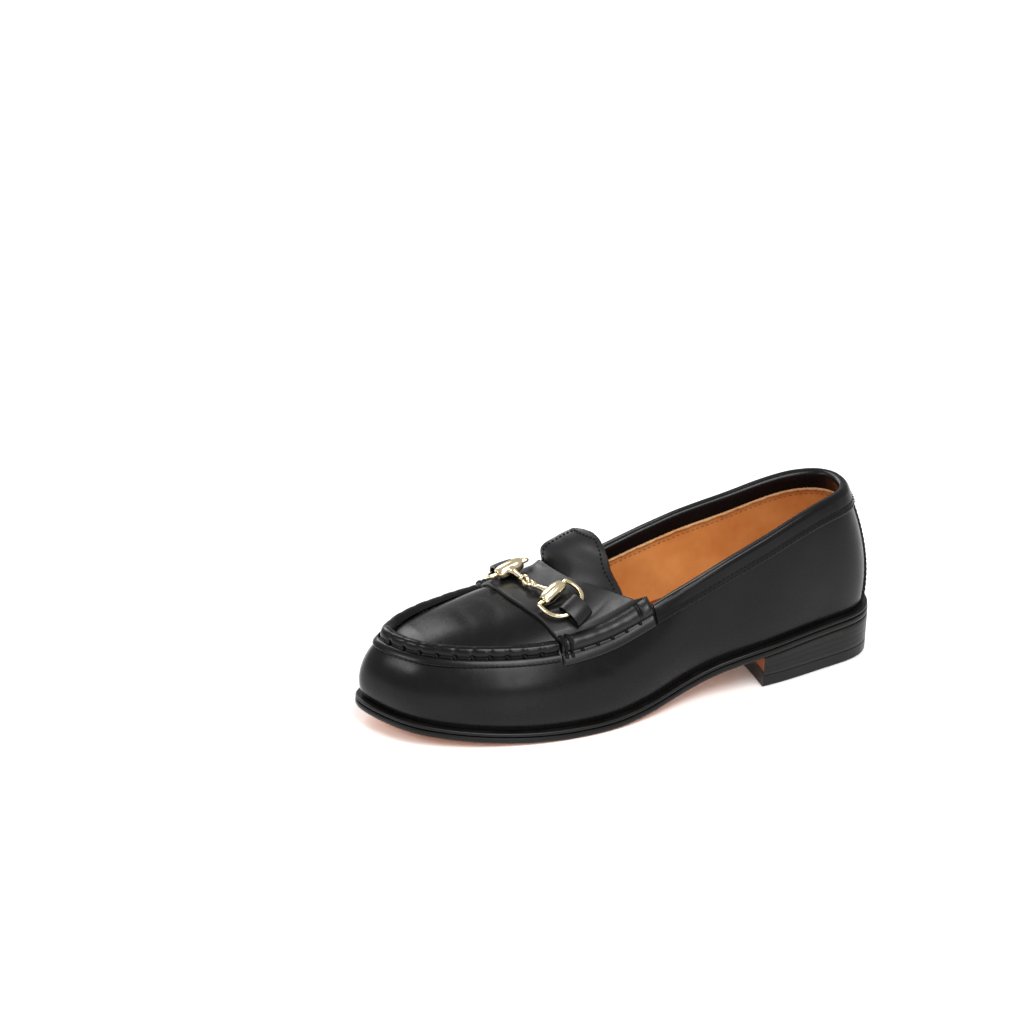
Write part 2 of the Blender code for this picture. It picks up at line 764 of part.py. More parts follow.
def build_back_stay(leather):
    """Strip that covers the back seam, from the binding down to the sole, wider at its foot."""
    high = 1 - (BINDING_OUTSIDE + 3 * GAP) / wall_length(0)
    rows = []
    for r in range(WALL_ROWS + 1):
        down = r / WALL_ROWS
        half = STAY_HALF + STAY_FLARE * down ** 1.5
        share = high + (STAY_LOW - high) * down
        rows.append([raised_wall(half * c / 4, share, LAY) for c in range(-4, 5)])
    mesh = bmesh.new()
    add_grid(mesh, rows)
    made = finish("back_stay", mesh, leather)
    if sum(face.normal.y * face.area for face in made.data.polygons) < 0:
        made.data.flip_normals()
    thicken(made, STAY_THICK, 1)
    return made


def strap_frame(spot, lift):
    """Place over the strap's top face, with its outward and upward directions."""
    station, share = spot
    point = raised_top(station, share, LAY + STRAP_THICK + lift)
    up = raised_top(station, share, 1.0) - raised_top(station, share, 0.0)
    across = top(station, share - 0.03) - top(station, share + 0.03)
    across -= up * np.dot(across, up)
    across /= np.linalg.norm(across)
    return Vector(point), Vector(across), Vector(up)


def ring_frame(barrel, keeper):
    """Middle of a barrel, the reach from it to the ring's bow, the barrel's axis and its upside."""
    centre, across, up = strap_frame(barrel, BARREL_RADIUS + GAP)
    bow, _, _ = strap_frame(keeper, LAY + 2 * GAP + KEEPER_THICK + RING_WIRE)
    reach = bow - centre
    axis = up.cross(across)
    axis = (axis - reach * (axis.dot(reach) / reach.length_squared)).normalized()
    return centre, reach, axis, up


def tube_rows(points, radius, up, sides):
    """Rings of points round a closed path in a plane square to up."""
    rows = []
    count = len(points)
    for i in range(count):
        run = (points[(i + 1) % count] - points[i - 1]).normalized()
        out = run.cross(up).normalized()
        ring = []
        for k in range(sides):
            angle = 2 * math.pi * k / sides
            ring.append(points[i] + (out * math.cos(angle) + up * math.sin(angle)) * radius)
        rows.append(ring)
    return rows


def build_ring(name, barrel, keeper, brass):
    """Ring of the bit: straight through its barrel and bowed out into its keeper."""
    centre, reach, axis, _ = ring_frame(barrel, keeper)
    points = []
    for k in range(RING_CORNERS):
        angle = 2 * math.pi * k / RING_CORNERS
        out = max(0.0, (math.cos(angle) + 0.35) / 1.35) ** 0.8
        spread = math.copysign(abs(math.sin(angle)) ** 0.85, math.sin(angle))
        points.append(centre + reach * out + axis * spread * (RING_LENGTH / 2))
    rows = tube_rows(points, RING_WIRE, axis.cross(reach).normalized(), 8)
    return loft(name, rows, brass, ring=True)


def add_tool(name, rows, finish_material, ring):
    """Body for a union, left out of the build."""
    made = loft(name, rows, finish_material, ring)
    made.hide_render = True
    made.display_type = "WIRE"
    return made


def join(target, tool):
    """Union of a tool body into the target."""
    union = target.modifiers.new("Join " + tool.name, "BOOLEAN")
    union.operation = "UNION"
    union.solver = "EXACT"
    union.object = tool


def rings_along(start, axis, across, profile, sides):
    """Closed rings of points along an axis, for a loft."""
    axis = axis.normalized()
    first = (across - axis * across.dot(axis)).normalized()
    second = axis.cross(first)
    rows = []
    for along, radius in profile:
        rows.append([start + axis * along + (first * math.cos(a) + second * math.sin(a)) * radius
                     for a in (2 * math.pi * k / sides for k in range(sides))])
    return rows


def build_bar(name, barrel, keeper, eye_centre, eye_up, brass):
    """Half of the bit's bar: a bored barrel, a tapered arm and the eye at the middle."""
    centre, _, axis, up = ring_frame(barrel, keeper)
    half = BARREL_LENGTH / 2
    profile = [(half * at, BARREL_RADIUS * width) for at, width in BARREL]
    profile += [(half, RING_WIRE + GAP), (-half, RING_WIRE + GAP)]
    body = loft(name, rings_along(centre, axis, up, profile, 12), brass, ring=True)
    run = eye_centre - centre
    start = BARREL_RADIUS * 0.7
    end = run.length - EYE_RADIUS
    arm_profile = [(start, ARM_ROOT * 1.15), (start + ARM_ROOT, ARM_ROOT * 0.8),
                   (end - ARM_TIP, ARM_TIP), (end, ARM_TIP * 0.9)]
    join(body, add_tool(name + "_arm", rings_along(centre, run, up, arm_profile, 10), brass, False))
    spread = run.normalized()
    other = eye_up.cross(spread).normalized()
    ring = [eye_centre + (spread * math.cos(a) + other * math.sin(a)) * EYE_RADIUS
            for a in (2 * math.pi * k / 12 for k in range(12))]
    join(body, add_tool(name + "_eye", tube_rows(ring, EYE_WIRE, eye_up, 6), brass, True))
    return body


KEEPER_LIFT = LAY + STRAP_THICK + GAP


def keeper_profile(fold, end):
    """Section of a keeper, folded round the ring: distance out from the bow and height."""
    low = KEEPER_THICK + LAY
    clear = 2 * RING_WIRE + 5 * GAP
    inner = ((end, low), (-0.8 * fold, low), (-fold, low + 0.5 * clear),
             (-0.8 * fold, low + clear), (0.3 * end, low + clear),
             (0.75 * end, low + 0.5 * clear), (end, low + GAP))
    outer = ((end, low + GAP + KEEPER_THICK), (0.8 * end, low + 0.5 * clear + KEEPER_THICK),
             (0.35 * end, low + clear + KEEPER_THICK),
             (-0.8 * fold, low + clear + KEEPER_THICK),
             (-fold - KEEPER_THICK, low + 0.5 * clear), (-0.8 * fold, low - KEEPER_THICK),
             (end, low - KEEPER_THICK))
    return inner + outer


def moved_spot(spot, move):
    """Spot on the vamp reached from another by a small move along its surface."""
    station, share = spot
    ahead = (top(station + 0.1, share) - top(station - 0.1, share)) / 0.2
    across = (top(station, share + 0.02) - top(station, share - 0.02)) / 0.04
    step = np.linalg.lstsq(np.column_stack([ahead, across]), np.array(move), rcond=None)[0]
    return station + step[0], share + step[1]


def build_keeper(name, barrel, keeper, size, leather):
    """Leather loop stitched to the strap, folded round the ring's bow."""
    _, reach, axis, _ = ring_frame(barrel, keeper)
    out_way = reach.normalized()
    rows = []
    for k in (-1.0, -0.5, 0.0, 0.5, 1.0):
        row = []
        for out, rise in keeper_profile(*size):
            spot = moved_spot(keeper, axis * (k * KEEPER_WIDTH / 2) + out_way * out)
            row.append(raised_top(*spot, KEEPER_LIFT + rise))
        rows.append(row)
    return loft(name, rows, leather)


def build_bit(brass, leather):
    """Snaffle bit in two halves, linked by their eyes and held by two rings in leather keepers."""
    middle, across, up = strap_frame(BIT_LINK, EYE_RADIUS + EYE_WIRE + 2 * GAP)
    link = across * (EYE_RADIUS / 2)
    flat = (up * 0.94 + up.cross(across) * 0.34).normalized()
    upright = flat.cross(across).normalized()
    for name, side, eye_up in (("lateral", 1, flat), ("medial", -1, upright)):
        barrel, keeper = BIT_BARRELS[name], BIT_KEEPERS[name]
        build_ring("bit_ring_" + name, barrel, keeper, brass)
        build_bar("bit_bar_" + name, barrel, keeper, middle + link * side, eye_up, brass)
        build_keeper("bit_keeper_" + name, barrel, keeper, KEEPERS[name], leather)


def main():
    for old in list(bpy.data.objects):
        bpy.data.objects.remove(old, do_unlink=True)
    black = material("black calf leather", (0.012, 0.012, 0.013), 0.25)
    edge_black = material("black sole edge", (0.015, 0.014, 0.014), 0.35)
    tan = material("tan sole leather", (0.45, 0.21, 0.09), 0.5)
    lining = material("reddish insole leather", (0.36, 0.10, 0.04), 0.5)
    rubber = material("black rubber", (0.02, 0.02, 0.02), 0.6)
    brass = material("pale gold brass", (0.83, 0.70, 0.46), 0.18, 1.0)
    build_outsole(tan)
    build_welt(edge_black)
    build_insole(lining)
    build_heel(edge_black, rubber)
    build_upper(black)
    build_moc_seam(black)
    build_strap(black)
    build_tongue(black)
    build_binding(black)
    build_back_stay(black)
    build_bit(brass, black)


main()
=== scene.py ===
import math
from functools import lru_cache

import bmesh
import bpy
import numpy as np
from mathutils import Matrix, Vector

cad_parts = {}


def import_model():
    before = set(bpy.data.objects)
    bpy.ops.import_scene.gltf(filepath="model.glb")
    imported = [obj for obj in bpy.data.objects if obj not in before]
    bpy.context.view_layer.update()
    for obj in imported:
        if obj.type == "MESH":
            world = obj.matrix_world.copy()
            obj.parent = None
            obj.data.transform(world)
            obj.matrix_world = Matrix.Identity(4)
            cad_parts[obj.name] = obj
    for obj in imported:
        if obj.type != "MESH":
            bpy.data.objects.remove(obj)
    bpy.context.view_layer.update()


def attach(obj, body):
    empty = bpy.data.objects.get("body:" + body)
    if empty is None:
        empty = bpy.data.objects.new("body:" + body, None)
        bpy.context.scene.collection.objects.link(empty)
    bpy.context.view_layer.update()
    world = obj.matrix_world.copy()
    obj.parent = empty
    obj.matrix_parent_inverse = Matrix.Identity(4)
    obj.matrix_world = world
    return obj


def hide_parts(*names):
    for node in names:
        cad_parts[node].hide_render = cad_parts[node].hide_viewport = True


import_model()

# Sizes of the last, shared by every leather piece
last = {
    "length": 0.262, "ballWidth": 0.091, "quarterHeight": 0.0605, "instepRise": 0.0135,
    "heelRise": 0.0203, "toeSpring": 0.0090, "springPower": 1.75, "flatEnd": 0.660,
    "featherInset": 0.0035, "outsole": 0.0032, "welt": 0.0019, "insole": 0.0034,
    "gap": 0.0003, "lay": 0.0005, "wall": 0.0020, "seamBlend": 0.0060,
}
weltBottom = last["outsole"] + last["gap"]
featherHeight = weltBottom + last["welt"] + last["gap"]

# Stations of the last: edge along, edge across, top along, top across, top rise, belly, shoulder, lift
stationTable = np.array((
    (0.000, 0.021, 0.056, 0.021, 1.030, 0.038, 0.094, 0.68),
    (0.031, 0.224, 0.074, 0.150, 1.028, 0.040, 0.086, 0.68),
    (0.115, 0.303, 0.139, 0.236, 1.010, 0.045, 0.055, 0.70),
    (0.252, 0.369, 0.260, 0.310, 0.907, 0.055, 0.030, 0.70),
    (0.382, 0.377, 0.386, 0.344, 0.815, 0.060, 0.030, 0.72),
    (0.485, 0.440, 0.483, 0.334, 0.740, 0.060, 0.060, 0.78),
    (0.573, 0.490, 0.569, 0.356, 0.668, 0.060, 0.088, 0.84),
    (0.676, 0.498, 0.670, 0.362, 0.615, 0.058, 0.095, 0.85),
    (0.809, 0.426, 0.796, 0.285, 0.580, 0.058, 0.098, 0.85),
    (0.927, 0.268, 0.886, 0.158, 0.530, 0.055, 0.100, 0.84),
    (0.977, 0.098, 0.922, 0.037, 0.500, 0.055, 0.105, 0.83),
    (1.000, -0.078, 0.937, -0.073, 0.480, 0.055, 0.110, 0.83),
    (0.981, -0.199, 0.927, -0.140, 0.485, 0.055, 0.105, 0.83),
    (0.935, -0.301, 0.897, -0.204, 0.522, 0.055, 0.100, 0.84),
    (0.847, -0.407, 0.828, -0.283, 0.580, 0.055, 0.090, 0.84),
    (0.740, -0.498, 0.727, -0.357, 0.615, 0.055, 0.085, 0.84),
    (0.641, -0.445, 0.632, -0.331, 0.700, 0.060, 0.075, 0.82),
    (0.546, -0.342, 0.542, -0.292, 0.815, 0.070, 0.045, 0.76),
    (0.405, -0.255, 0.405, -0.276, 0.885, 0.070, 0.020, 0.72),
    (0.252, -0.276, 0.255, -0.248, 0.925, 0.060, 0.030, 0.70),
    (0.115, -0.297, 0.135, -0.197, 1.012, 0.045, 0.055, 0.70),
    (0.031, -0.200, 0.072, -0.112, 1.030, 0.040, 0.086, 0.68),
))
stationCount = len(stationTable)
toeStation = stationCount // 2

# Underside of the sole: along, rise
soleTable = np.array(((0.000, 1.000), (0.160, 0.910), (0.262, 0.783), (0.332, 0.645),
                      (0.420, 0.374), (0.511, 0.113), (0.576, 0.012), (0.605, 0.000)))

# Crown of the vamp: station, rise, ridge, power
crownTable = np.array((
    (5.0, 1.12, 0.60, 2.8), (6.0, 1.05, 0.60, 2.9), (7.0, 0.87, 0.59, 2.9), (8.0, 0.54, 0.56, 2.4),
    (9.0, 0.22, 0.52, 2.1), (10.0, 0.055, 0.50, 2.0), (11.0, 0.000, 0.50, 2.0)))

# Edges of the saddle strap: share across, rear station, front station
strapTable = np.array((
    (0.00, 5.05, 7.00), (0.15, 5.50, 7.03), (0.35, 5.88, 7.12), (0.50, 6.04, 7.15),
    (0.70, 6.06, 7.12), (0.86, 5.95, 7.05), (1.00, 5.05, 7.00)))


def hermite(x, x0, x1, y0, y1, m0, m1):
    # Cubic between two ends with given values and slopes.
    h = x1 - x0
    u = (x - x0) / h
    straight = y0 * (1 + 2 * u) * (1 - u) ** 2 + y1 * u * u * (3 - 2 * u)
    return straight + h * (m0 * u * (1 - u) ** 2 + m1 * u * u * (u - 1))


def easedRow(table, x):
    # Values of a table at x, smooth and never past the table's own values.
    xs = table[:, 0]
    rises = np.diff(table[:, 1:], axis=0) / np.diff(xs)[:, None]
    x = min(max(x, xs[0]), xs[-1])
    i = min(int(np.searchsorted(xs, x, side="right")) - 1, len(xs) - 2)
    slopes = []
    for k in (i, i + 1):
        if k in (0, len(xs) - 1):
            slopes.append(rises[min(k, len(rises) - 1)])
        else:
            product = rises[k - 1] * rises[k]
            total = np.where(product > 0, rises[k - 1] + rises[k], 1.0)
            slopes.append(np.where(product > 0, 2 * product / total, 0.0))
    return hermite(x, xs[i], xs[i + 1], table[i, 1:], table[i + 1, 1:], *slopes)


def closedSlopes(knots, values):
    # Slopes of the closed smooth curve through the values.
    count = len(values)
    steps = np.diff(knots)
    rises = (np.roll(values, -1, axis=0) - values) / steps[:, None]
    matrix = np.zeros((count, count))
    right = np.zeros_like(values)
    for i in range(count):
        before, after = 1.0 / steps[i - 1], 1.0 / steps[i]
        matrix[i, i - 1] += before
        matrix[i, i] += 2.0 * (before + after)
        matrix[i, (i + 1) % count] += after
        right[i] = 3.0 * (rises[i - 1] * before + rises[i] * after)
    return np.linalg.solve(matrix, right)


def stationKnots():
    # Place of each station along the outline, the same on both sides.
    places = stationTable[:, :2] * (last["length"], last["ballWidth"])
    closed = np.vstack([places, places[:1]])
    steps = np.sqrt(np.hypot(*np.diff(closed, axis=0).T))
    steps = (steps + steps[::-1]) / 2
    return np.concatenate([[0.0], np.cumsum(steps)])


knots = stationKnots()
slopesOfTable = closedSlopes(knots, stationTable)


@lru_cache(maxsize=None)
def stationRow(station):
    station %= stationCount
    i = int(station)
    j = (i + 1) % stationCount
    x = knots[i] + (station - i) * (knots[i + 1] - knots[i])
    return hermite(x, knots[i], knots[i + 1], stationTable[i], stationTable[j],
                   slopesOfTable[i], slopesOfTable[j])


def acrossStation(station):
    return stationCount - station


@lru_cache(maxsize=None)
def soleHeight(along):
    share = along / last["length"]
    if share <= soleTable[-1, 0]:
        return last["heelRise"] * max(0.0, easedRow(soleTable, share)[0])
    spring = max(0.0, share - last["flatEnd"]) / (1 - last["flatEnd"])
    return last["toeSpring"] * spring ** last["springPower"]


def world(along, across, height):
    return np.array([across, last["length"] / 2 - along, height])


@lru_cache(maxsize=None)
def soleEdge(station, inset=0.0):
    # Place on the sole's outline and its outward direction.
    scale = (last["length"], last["ballWidth"])
    run = (stationRow(station + 0.02)[:2] - stationRow(station - 0.02)[:2]) * scale
    run /= np.linalg.norm(run)
    outward = np.array([-run[1], run[0]])
    return stationRow(station)[:2] * scale - outward * inset, outward


@lru_cache(maxsize=None)
def wallControls(station):
    # Four control points of the wall's section, from the feather line to its top edge.
    row = stationRow(station)
    foot, outward = soleEdge(station, last["featherInset"])
    low = np.array([*foot, soleHeight(foot[0]) + featherHeight])
    rise = row[4] * last["quarterHeight"]
    base = soleHeight(row[0] * last["length"]) + featherHeight
    high = np.array([row[2] * last["length"], row[3] * last["ballWidth"], base + rise])
    push = np.array([*outward, 0.0]) * last["ballWidth"]
    up = np.array([0.0, 0.0, rise])
    first = low + push * row[5] + up * 0.36
    second = high + push * row[6] - up * (1 - row[7])
    return [world(*point) for point in (low, first, second, high)]


def wall(station, share):
    low, first, second, high = wallControls(round(station % stationCount, 6))
    u, v = share, 1 - share
    return low * v ** 3 + first * 3 * u * v * v + second * 3 * u * u * v + high * u ** 3


@lru_cache(maxsize=None)
def crownRow(station):
    return easedRow(crownTable, station)


def crown(station, share):
    # Rise of the vamp over the straight line between its two edges.
    rise, ridge, power = crownRow(round(station, 6))
    side = ridge if share < ridge else 1 - ridge
    return last["instepRise"] * rise * (1 - min(1.0, abs(share - ridge) / side) ** power)


def top(station, share):
    outer, inner = wall(station, 1.0), wall(acrossStation(station), 1.0)
    point = outer + (inner - outer) * share
    point[2] += crown(station, share)
    return point


@lru_cache(maxsize=None)
def wallLength(station):
    points = [wall(station, k / 6) for k in range(7)]
    return sum(np.linalg.norm(b - a) for a, b in zip(points, points[1:]))


def normalOf(function, u, v, du, dv, hint):
    normal = np.cross(function(u + du, v) - function(u - du, v), function(u, v + dv) - function(u, v - dv))
    normal /= np.linalg.norm(normal)
    return normal if np.dot(normal, hint) > 0 else -normal


def raisedWall(station, share, height):
    _, outward = soleEdge(round(station, 6))
    hint = (outward[1], -outward[0], 0.2)
    normal = normalOf(wall, station, min(max(share, 0.01), 0.99), 0.05, 0.01, hint)
    return wall(station, share) + normal * height


def raisedTop(station, share, height):
    level = min(max(share, 0.02), 0.98)
    normal = normalOf(top, min(station, toeStation - 0.12), level, 0.05, 0.02, (0, 0, 1))
    return top(station, share) + normal * height


def innerWall(station, share, height=0.0):
    # Place on the wall's inside, or further in by a height.
    here = min(station, acrossStation(station))
    under = held(3 * (here - 5))
    drop = 0.5 * last["wall"] * under / wallLength(round(station, 6))
    return raisedWall(station, share * (1 - drop), -last["wall"] - height)


def innerTop(station, share):
    outer, inner = innerWall(station, 1.0), innerWall(acrossStation(station), 1.0)
    point = outer + (inner - outer) * share
    point[2] += crown(station, share)
    return point


def strapEdge(share):
    # Rear and front station of the strap at a share of the way across.
    return easedRow(strapTable, share)


def throat(share):
    # Station at which the vamp ends under the strap.
    return strapEdge(share)[0] - 0.05 + 0.40 * 4 * share * (1 - share)


def seamTurn(here):
    return held((here - 7.0) / 2.0)


@lru_cache(maxsize=None)
def seamInward(station):
    # Direction from the seam onto the vamp.
    turn = seamTurn(min(station, acrossStation(station)))
    run = wall(station + 0.05, 1.0) - wall(station - 0.05, 1.0)
    square = np.array([run[1], -run[0], 0.0]) / np.hypot(run[0], run[1])
    across = wall(acrossStation(station), 1.0) - wall(station, 1.0)
    across[2] = 0.0
    across /= max(np.linalg.norm(across), 1e-6)
    mixed = across * (1 - turn) + square * turn
    return mixed / np.linalg.norm(mixed)


def raisedSkin(station, distance, height):
    # Point over the skin near the seam: on the wall below zero distance, on the vamp above it.
    here = min(station, acrossStation(station))
    corner, other = wall(station, 1.0), wall(acrossStation(station), 1.0)
    share = min(0.4, max(0.0, distance) / max(np.linalg.norm(other - corner), 1e-6))
    own = share if station < toeStation else 1 - share
    down = 1 + min(0.0, distance) / wallLength(round(station, 6))
    point = wall(station, down)
    if distance > 0:
        point = point + seamInward(round(station, 6)) * distance
        point[2] += crown(here - 0.20 * seamTurn(here), own) + (other[2] - corner[2]) * share
    level = min(max(own, 0.02), 0.98)
    over = normalOf(top, min(here, toeStation - 0.5), level, 0.05, 0.02, (0, 0, 1))
    beside = raisedWall(station, down, 1.0) - wall(station, down)
    turn = held(distance / last["seamBlend"] + 0.5)
    turn = turn * turn * (3 - 2 * turn)
    normal = beside * (1 - turn) + over * turn
    return point + normal * (height / np.linalg.norm(normal))


def held(share):
    # A share held between 0 and 1.
    return min(1.0, max(0.0, share))


def spread(first, end, count):
    return [first + (end - first) * k / count for k in range(count + 1)]


def runLengths(points):
    # Length along a path at each of its points.
    steps = [np.linalg.norm(b - a) for a, b in zip(points, points[1:])]
    return np.concatenate([[0.0], np.cumsum(steps)])


def rounded(points, times=2):
    # Profile with its corners cut, so that it bends softly.
    points = [np.array(point, float) for point in points]
    for _ in range(times):
        pairs = zip(points, points[1:])
        cut = [point for a, b in pairs for point in (a * 0.75 + b * 0.25, a * 0.25 + b * 0.75)]
        points = [points[0]] + cut[1:-1] + [points[-1]]
    return points


def bumpAt(value, centre, width):
    # Soft bell of height 1.
    return math.exp(-((value - centre) / width) ** 2)


# Meshes

def addGrid(mesh, rows, closed=False, slot=0):
    # Grid through rows of points, made by create_grid and laid onto them.
    rows = [list(row) + [row[0]] for row in rows] if closed else rows
    across, along = len(rows[0]) - 1, len(rows) - 1
    made = bmesh.ops.create_grid(mesh, x_segments=across, y_segments=along, size=1.0)
    for vert in made["verts"]:
        i = round((vert.co.x + 1) / 2 * across)
        j = round((vert.co.y + 1) / 2 * along)
        vert.co = rows[j][i]
    for face in {face for vert in made["verts"] for face in vert.link_faces}:
        face.material_index = slot
    return made["verts"]


def finishPiece(name, mesh, materials, node=None, angle=50, weld=1e-6, closeEnds=False):
    # Object of a mesh, riding on the shoe and standing for its CAD node.
    bmesh.ops.remove_doubles(mesh, verts=mesh.verts, dist=weld)
    if closeEnds:
        bmesh.ops.holes_fill(mesh, edges=[edge for edge in mesh.edges if edge.is_boundary], sides=0)
    bmesh.ops.recalc_face_normals(mesh, faces=mesh.faces)
    data = bpy.data.meshes.new(name)
    mesh.to_mesh(data)
    mesh.free()
    for made in materials:
        data.materials.append(made)
    data.shade_smooth()
    data.set_sharp_from_angle(angle=math.radians(angle))
    piece = bpy.data.objects.new(name, data)
    bpy.context.scene.collection.objects.link(piece)
    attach(piece, "root")
    if node:
        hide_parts(node)
    print("made", name, len(data.polygons))
    return piece


def addBead(mesh, centre, along, up, length, width, height):
    # Rounded stitch lying along a direction.
    along = Vector(along).normalized()
    side = Vector(up).cross(along).normalized()
    turn = Matrix((along, side, along.cross(side))).transposed().to_4x4()
    size = Matrix.Diagonal((length / 2, width / 2, height / 2, 1))
    place = Matrix.Translation(Vector(centre)) @ turn @ size
    bmesh.ops.create_uvsphere(mesh, u_segments=8, v_segments=5, radius=1.0, matrix=place)


def walk(points, pitch, start=0.0):
    # Places and directions at even steps along a path of points.
    found = []
    left = start
    for a, b in zip(points, points[1:]):
        span = np.linalg.norm(b - a)
        while left <= span:
            found.append((a + (b - a) * (left / span), (b - a) / span))
            left += pitch
        left -= span
    return found


def circle(centre, first, second, size, sides):
    # Points round a centre, in the plane of two directions.
    angles = (2 * math.pi * k / sides for k in range(sides))
    return [centre + (first * math.cos(a) + second * math.sin(a)) * size for a in angles]


def tubeAlong(mesh, points, radius, sides=10, closed=False, up=(0, 0, 1)):
    # Tube through points. Radius is one number or one for each point.
    rows = []
    count = len(points)
    for i, point in enumerate(points):
        ahead = points[(i + 1) % count] if closed else points[min(i + 1, count - 1)]
        behind = points[i - 1] if closed or i else points[0]
        run = Vector(ahead - behind).normalized()
        out = run.cross(Vector(up)).normalized()
        over = out.cross(run)
        size = radius if isinstance(radius, float) else radius[i]
        rows.append(circle(Vector(point), out, over, size, sides))
    addGrid(mesh, rows + rows[:1] if closed else rows, closed=True)


def thicken(mesh, outward, thick):
    # Turns a sheet's faces outward and gives it its thickness.
    bmesh.ops.recalc_face_normals(mesh, faces=mesh.faces)
    if sum(face.normal.dot(outward) * face.calc_area() for face in mesh.faces) < 0:
        bmesh.ops.reverse_faces(mesh, faces=mesh.faces)
    bmesh.ops.solidify(mesh, geom=mesh.faces[:], thickness=thick)


def sewAlong(mesh, path, pitch, size, up=None, start=0.0):
    # Stitches at even steps along a path. With no way up given they face away from the middle.
    for place, way in walk(path, pitch, start):
        addBead(mesh, place, way, up or (place[0], 0.0, 0.02), *size)


def sewGroove(mesh, found, settings, ends, low, high, size):
    # Stitches across the groove of a roll, between two (distance, rise) places of its section.
    width, height = settings["width"], settings["height"]
    lengths = runLengths([wall(s, 1.0) for s in found])
    length = ends[0]
    while length < lengths[-1] - ends[1]:
        station = float(np.interp(length, lengths, found))
        first = raisedSkin(station - 0.02, low[0] * width, low[1] * height)
        second = raisedSkin(station + 0.02, high[0] * width, high[1] * height)
        up = raisedSkin(station, -0.6 * width, 0.002) - raisedSkin(station, -0.6 * width, 0.0)
        addBead(mesh, (first + second) / 2, second - first, up, *size)
        length += settings["pitch"]


# Materials

def colour(text):
    # Linear colour of an sRGB hex text.
    parts = [int(text[i:i + 2], 16) / 255 for i in (1, 3, 5)]
    return tuple(c / 12.92 if c <= 0.04045 else ((c + 0.055) / 1.055) ** 2.4 for c in parts) + (1.0,)


def addNode(tree, kind, links=(), values=(), **settings):
    # Node with its settings, input values and links by input name or number.
    made = tree.nodes.new(kind)
    for key, value in settings.items():
        setattr(made, key, value)
    for key, value in values:
        made.inputs[key].default_value = value
    for key, source in links:
        tree.links.new(source, made.inputs[key])
    return made


def newMaterial(name):
    made = bpy.data.materials.new(name)
    made.use_nodes = True
    tree = made.node_tree
    return made, tree, tree.nodes["Principled BSDF"], addNode(tree, "ShaderNodeTexCoord").outputs["Object"]


def noise(tree, place, size, detail=4.0, roughness=0.55):
    # Noise whose features are about size metres.
    return addNode(tree, "ShaderNodeTexNoise", [("Vector", place)],
                   [("Scale", 1.0 / size), ("Detail", detail), ("Roughness", roughness)]).outputs["Fac"]


def remap(tree, source, low, high):
    # The middle part of a noise, stretched to run from low to high.
    ends = [("From Min", 0.3), ("From Max", 0.7), ("To Min", low), ("To Max", high)]
    return addNode(tree, "ShaderNodeMapRange", [("Value", source)], ends).outputs["Result"]


def mixed(tree, factor, first, second):
    # Colour between two hex texts by a factor.
    made = addNode(tree, "ShaderNodeMix", [(0, factor)], [(6, colour(first)), (7, colour(second))],
                   data_type="RGBA")
    return made.outputs[2]


def bumped(tree, shader, layers):
    # Bump of the shader from (height, distance) layers.
    normal = None
    for height, distance in layers:
        links = [("Height", height)] + ([("Normal", normal)] if normal else [])
        values = [("Distance", distance), ("Strength", 1.0)]
        normal = addNode(tree, "ShaderNodeBump", links, values).outputs["Normal"]
    tree.links.new(normal, shader.inputs["Normal"])


def pores(tree, place, size):
    # Fine leather grain of cells about size metres.
    return addNode(tree, "ShaderNodeTexVoronoi", [("Vector", place)], [("Scale", 1.0 / size)],
                   feature="SMOOTH_F1").outputs["Distance"]


def leather(name, dark, light, rough, grain, grainDepth, wave, coat, shine):
    # Leather: cloudy colour, uneven polish, fine grain and slow unevenness.
    made, tree, shader, place = newMaterial(name)
    clouds = noise(tree, place, 0.018)
    tree.links.new(mixed(tree, remap(tree, clouds, 0.0, 1.0), dark, light), shader.inputs["Base Color"])
    polish = noise(tree, place, 0.006, 6.0)
    tree.links.new(remap(tree, polish, rough[0], rough[1]), shader.inputs["Roughness"])
    shader.inputs["Coat Weight"].default_value = coat[0]
    shader.inputs["Coat Roughness"].default_value = coat[1]
    shader.inputs["Specular IOR Level"].default_value = shine
    bumped(tree, shader, [(noise(tree, place, 0.016, 1.0), wave), (pores(tree, place, grain), grainDepth),
                          (noise(tree, place, grain * 0.5, 5.0, 0.7), grainDepth * 0.5)])
    return made


# Polished black calf of the vamp, wall, binding and stay
calf = leather("polished black calf", "#070708", "#0c0c0d", rough=(0.22, 0.30), grain=0.0005,
               grainDepth=0.000006, wave=0.00012, coat=(0.02, 0.12), shine=0.17)
# Softer black calf of the strap, tongue and keepers, with more grain
softCalf = leather("soft black calf", "#09090a", "#101011", rough=(0.34, 0.44), grain=0.0007,
                   grainDepth=0.00002, wave=0.00016, coat=(0.0, 0.25), shine=0.30)
# Vegetable tanned lining, warm tan
liningLeather = leather("tan lining leather", "#bd7338", "#d18c4e", rough=(0.50, 0.62), grain=0.0006,
                        grainDepth=0.000015, wave=0.00012, coat=(0.0, 0.3), shine=0.3)
# Raw cut edge of the lining
rawEdge = leather("raw lining edge", "#d9a26a", "#edc794", rough=(0.75, 0.88), grain=0.0005,
                  grainDepth=0.00006, wave=0.00005, coat=(0.0, 0.3), shine=0.2)
# Reddish brown insole cover
insoleLeather = leather("reddish insole leather", "#7b3315", "#8f471f", rough=(0.45, 0.58), grain=0.0006,
                        grainDepth=0.000015, wave=0.0001, coat=(0.0, 0.3), shine=0.3)
# Tan underside of the leather sole
soleLeather = leather("tan sole leather", "#b96c36", "#d08a4e", rough=(0.45, 0.6), grain=0.0006,
                      grainDepth=0.00002, wave=0.0001, coat=(0.0, 0.3), shine=0.3)
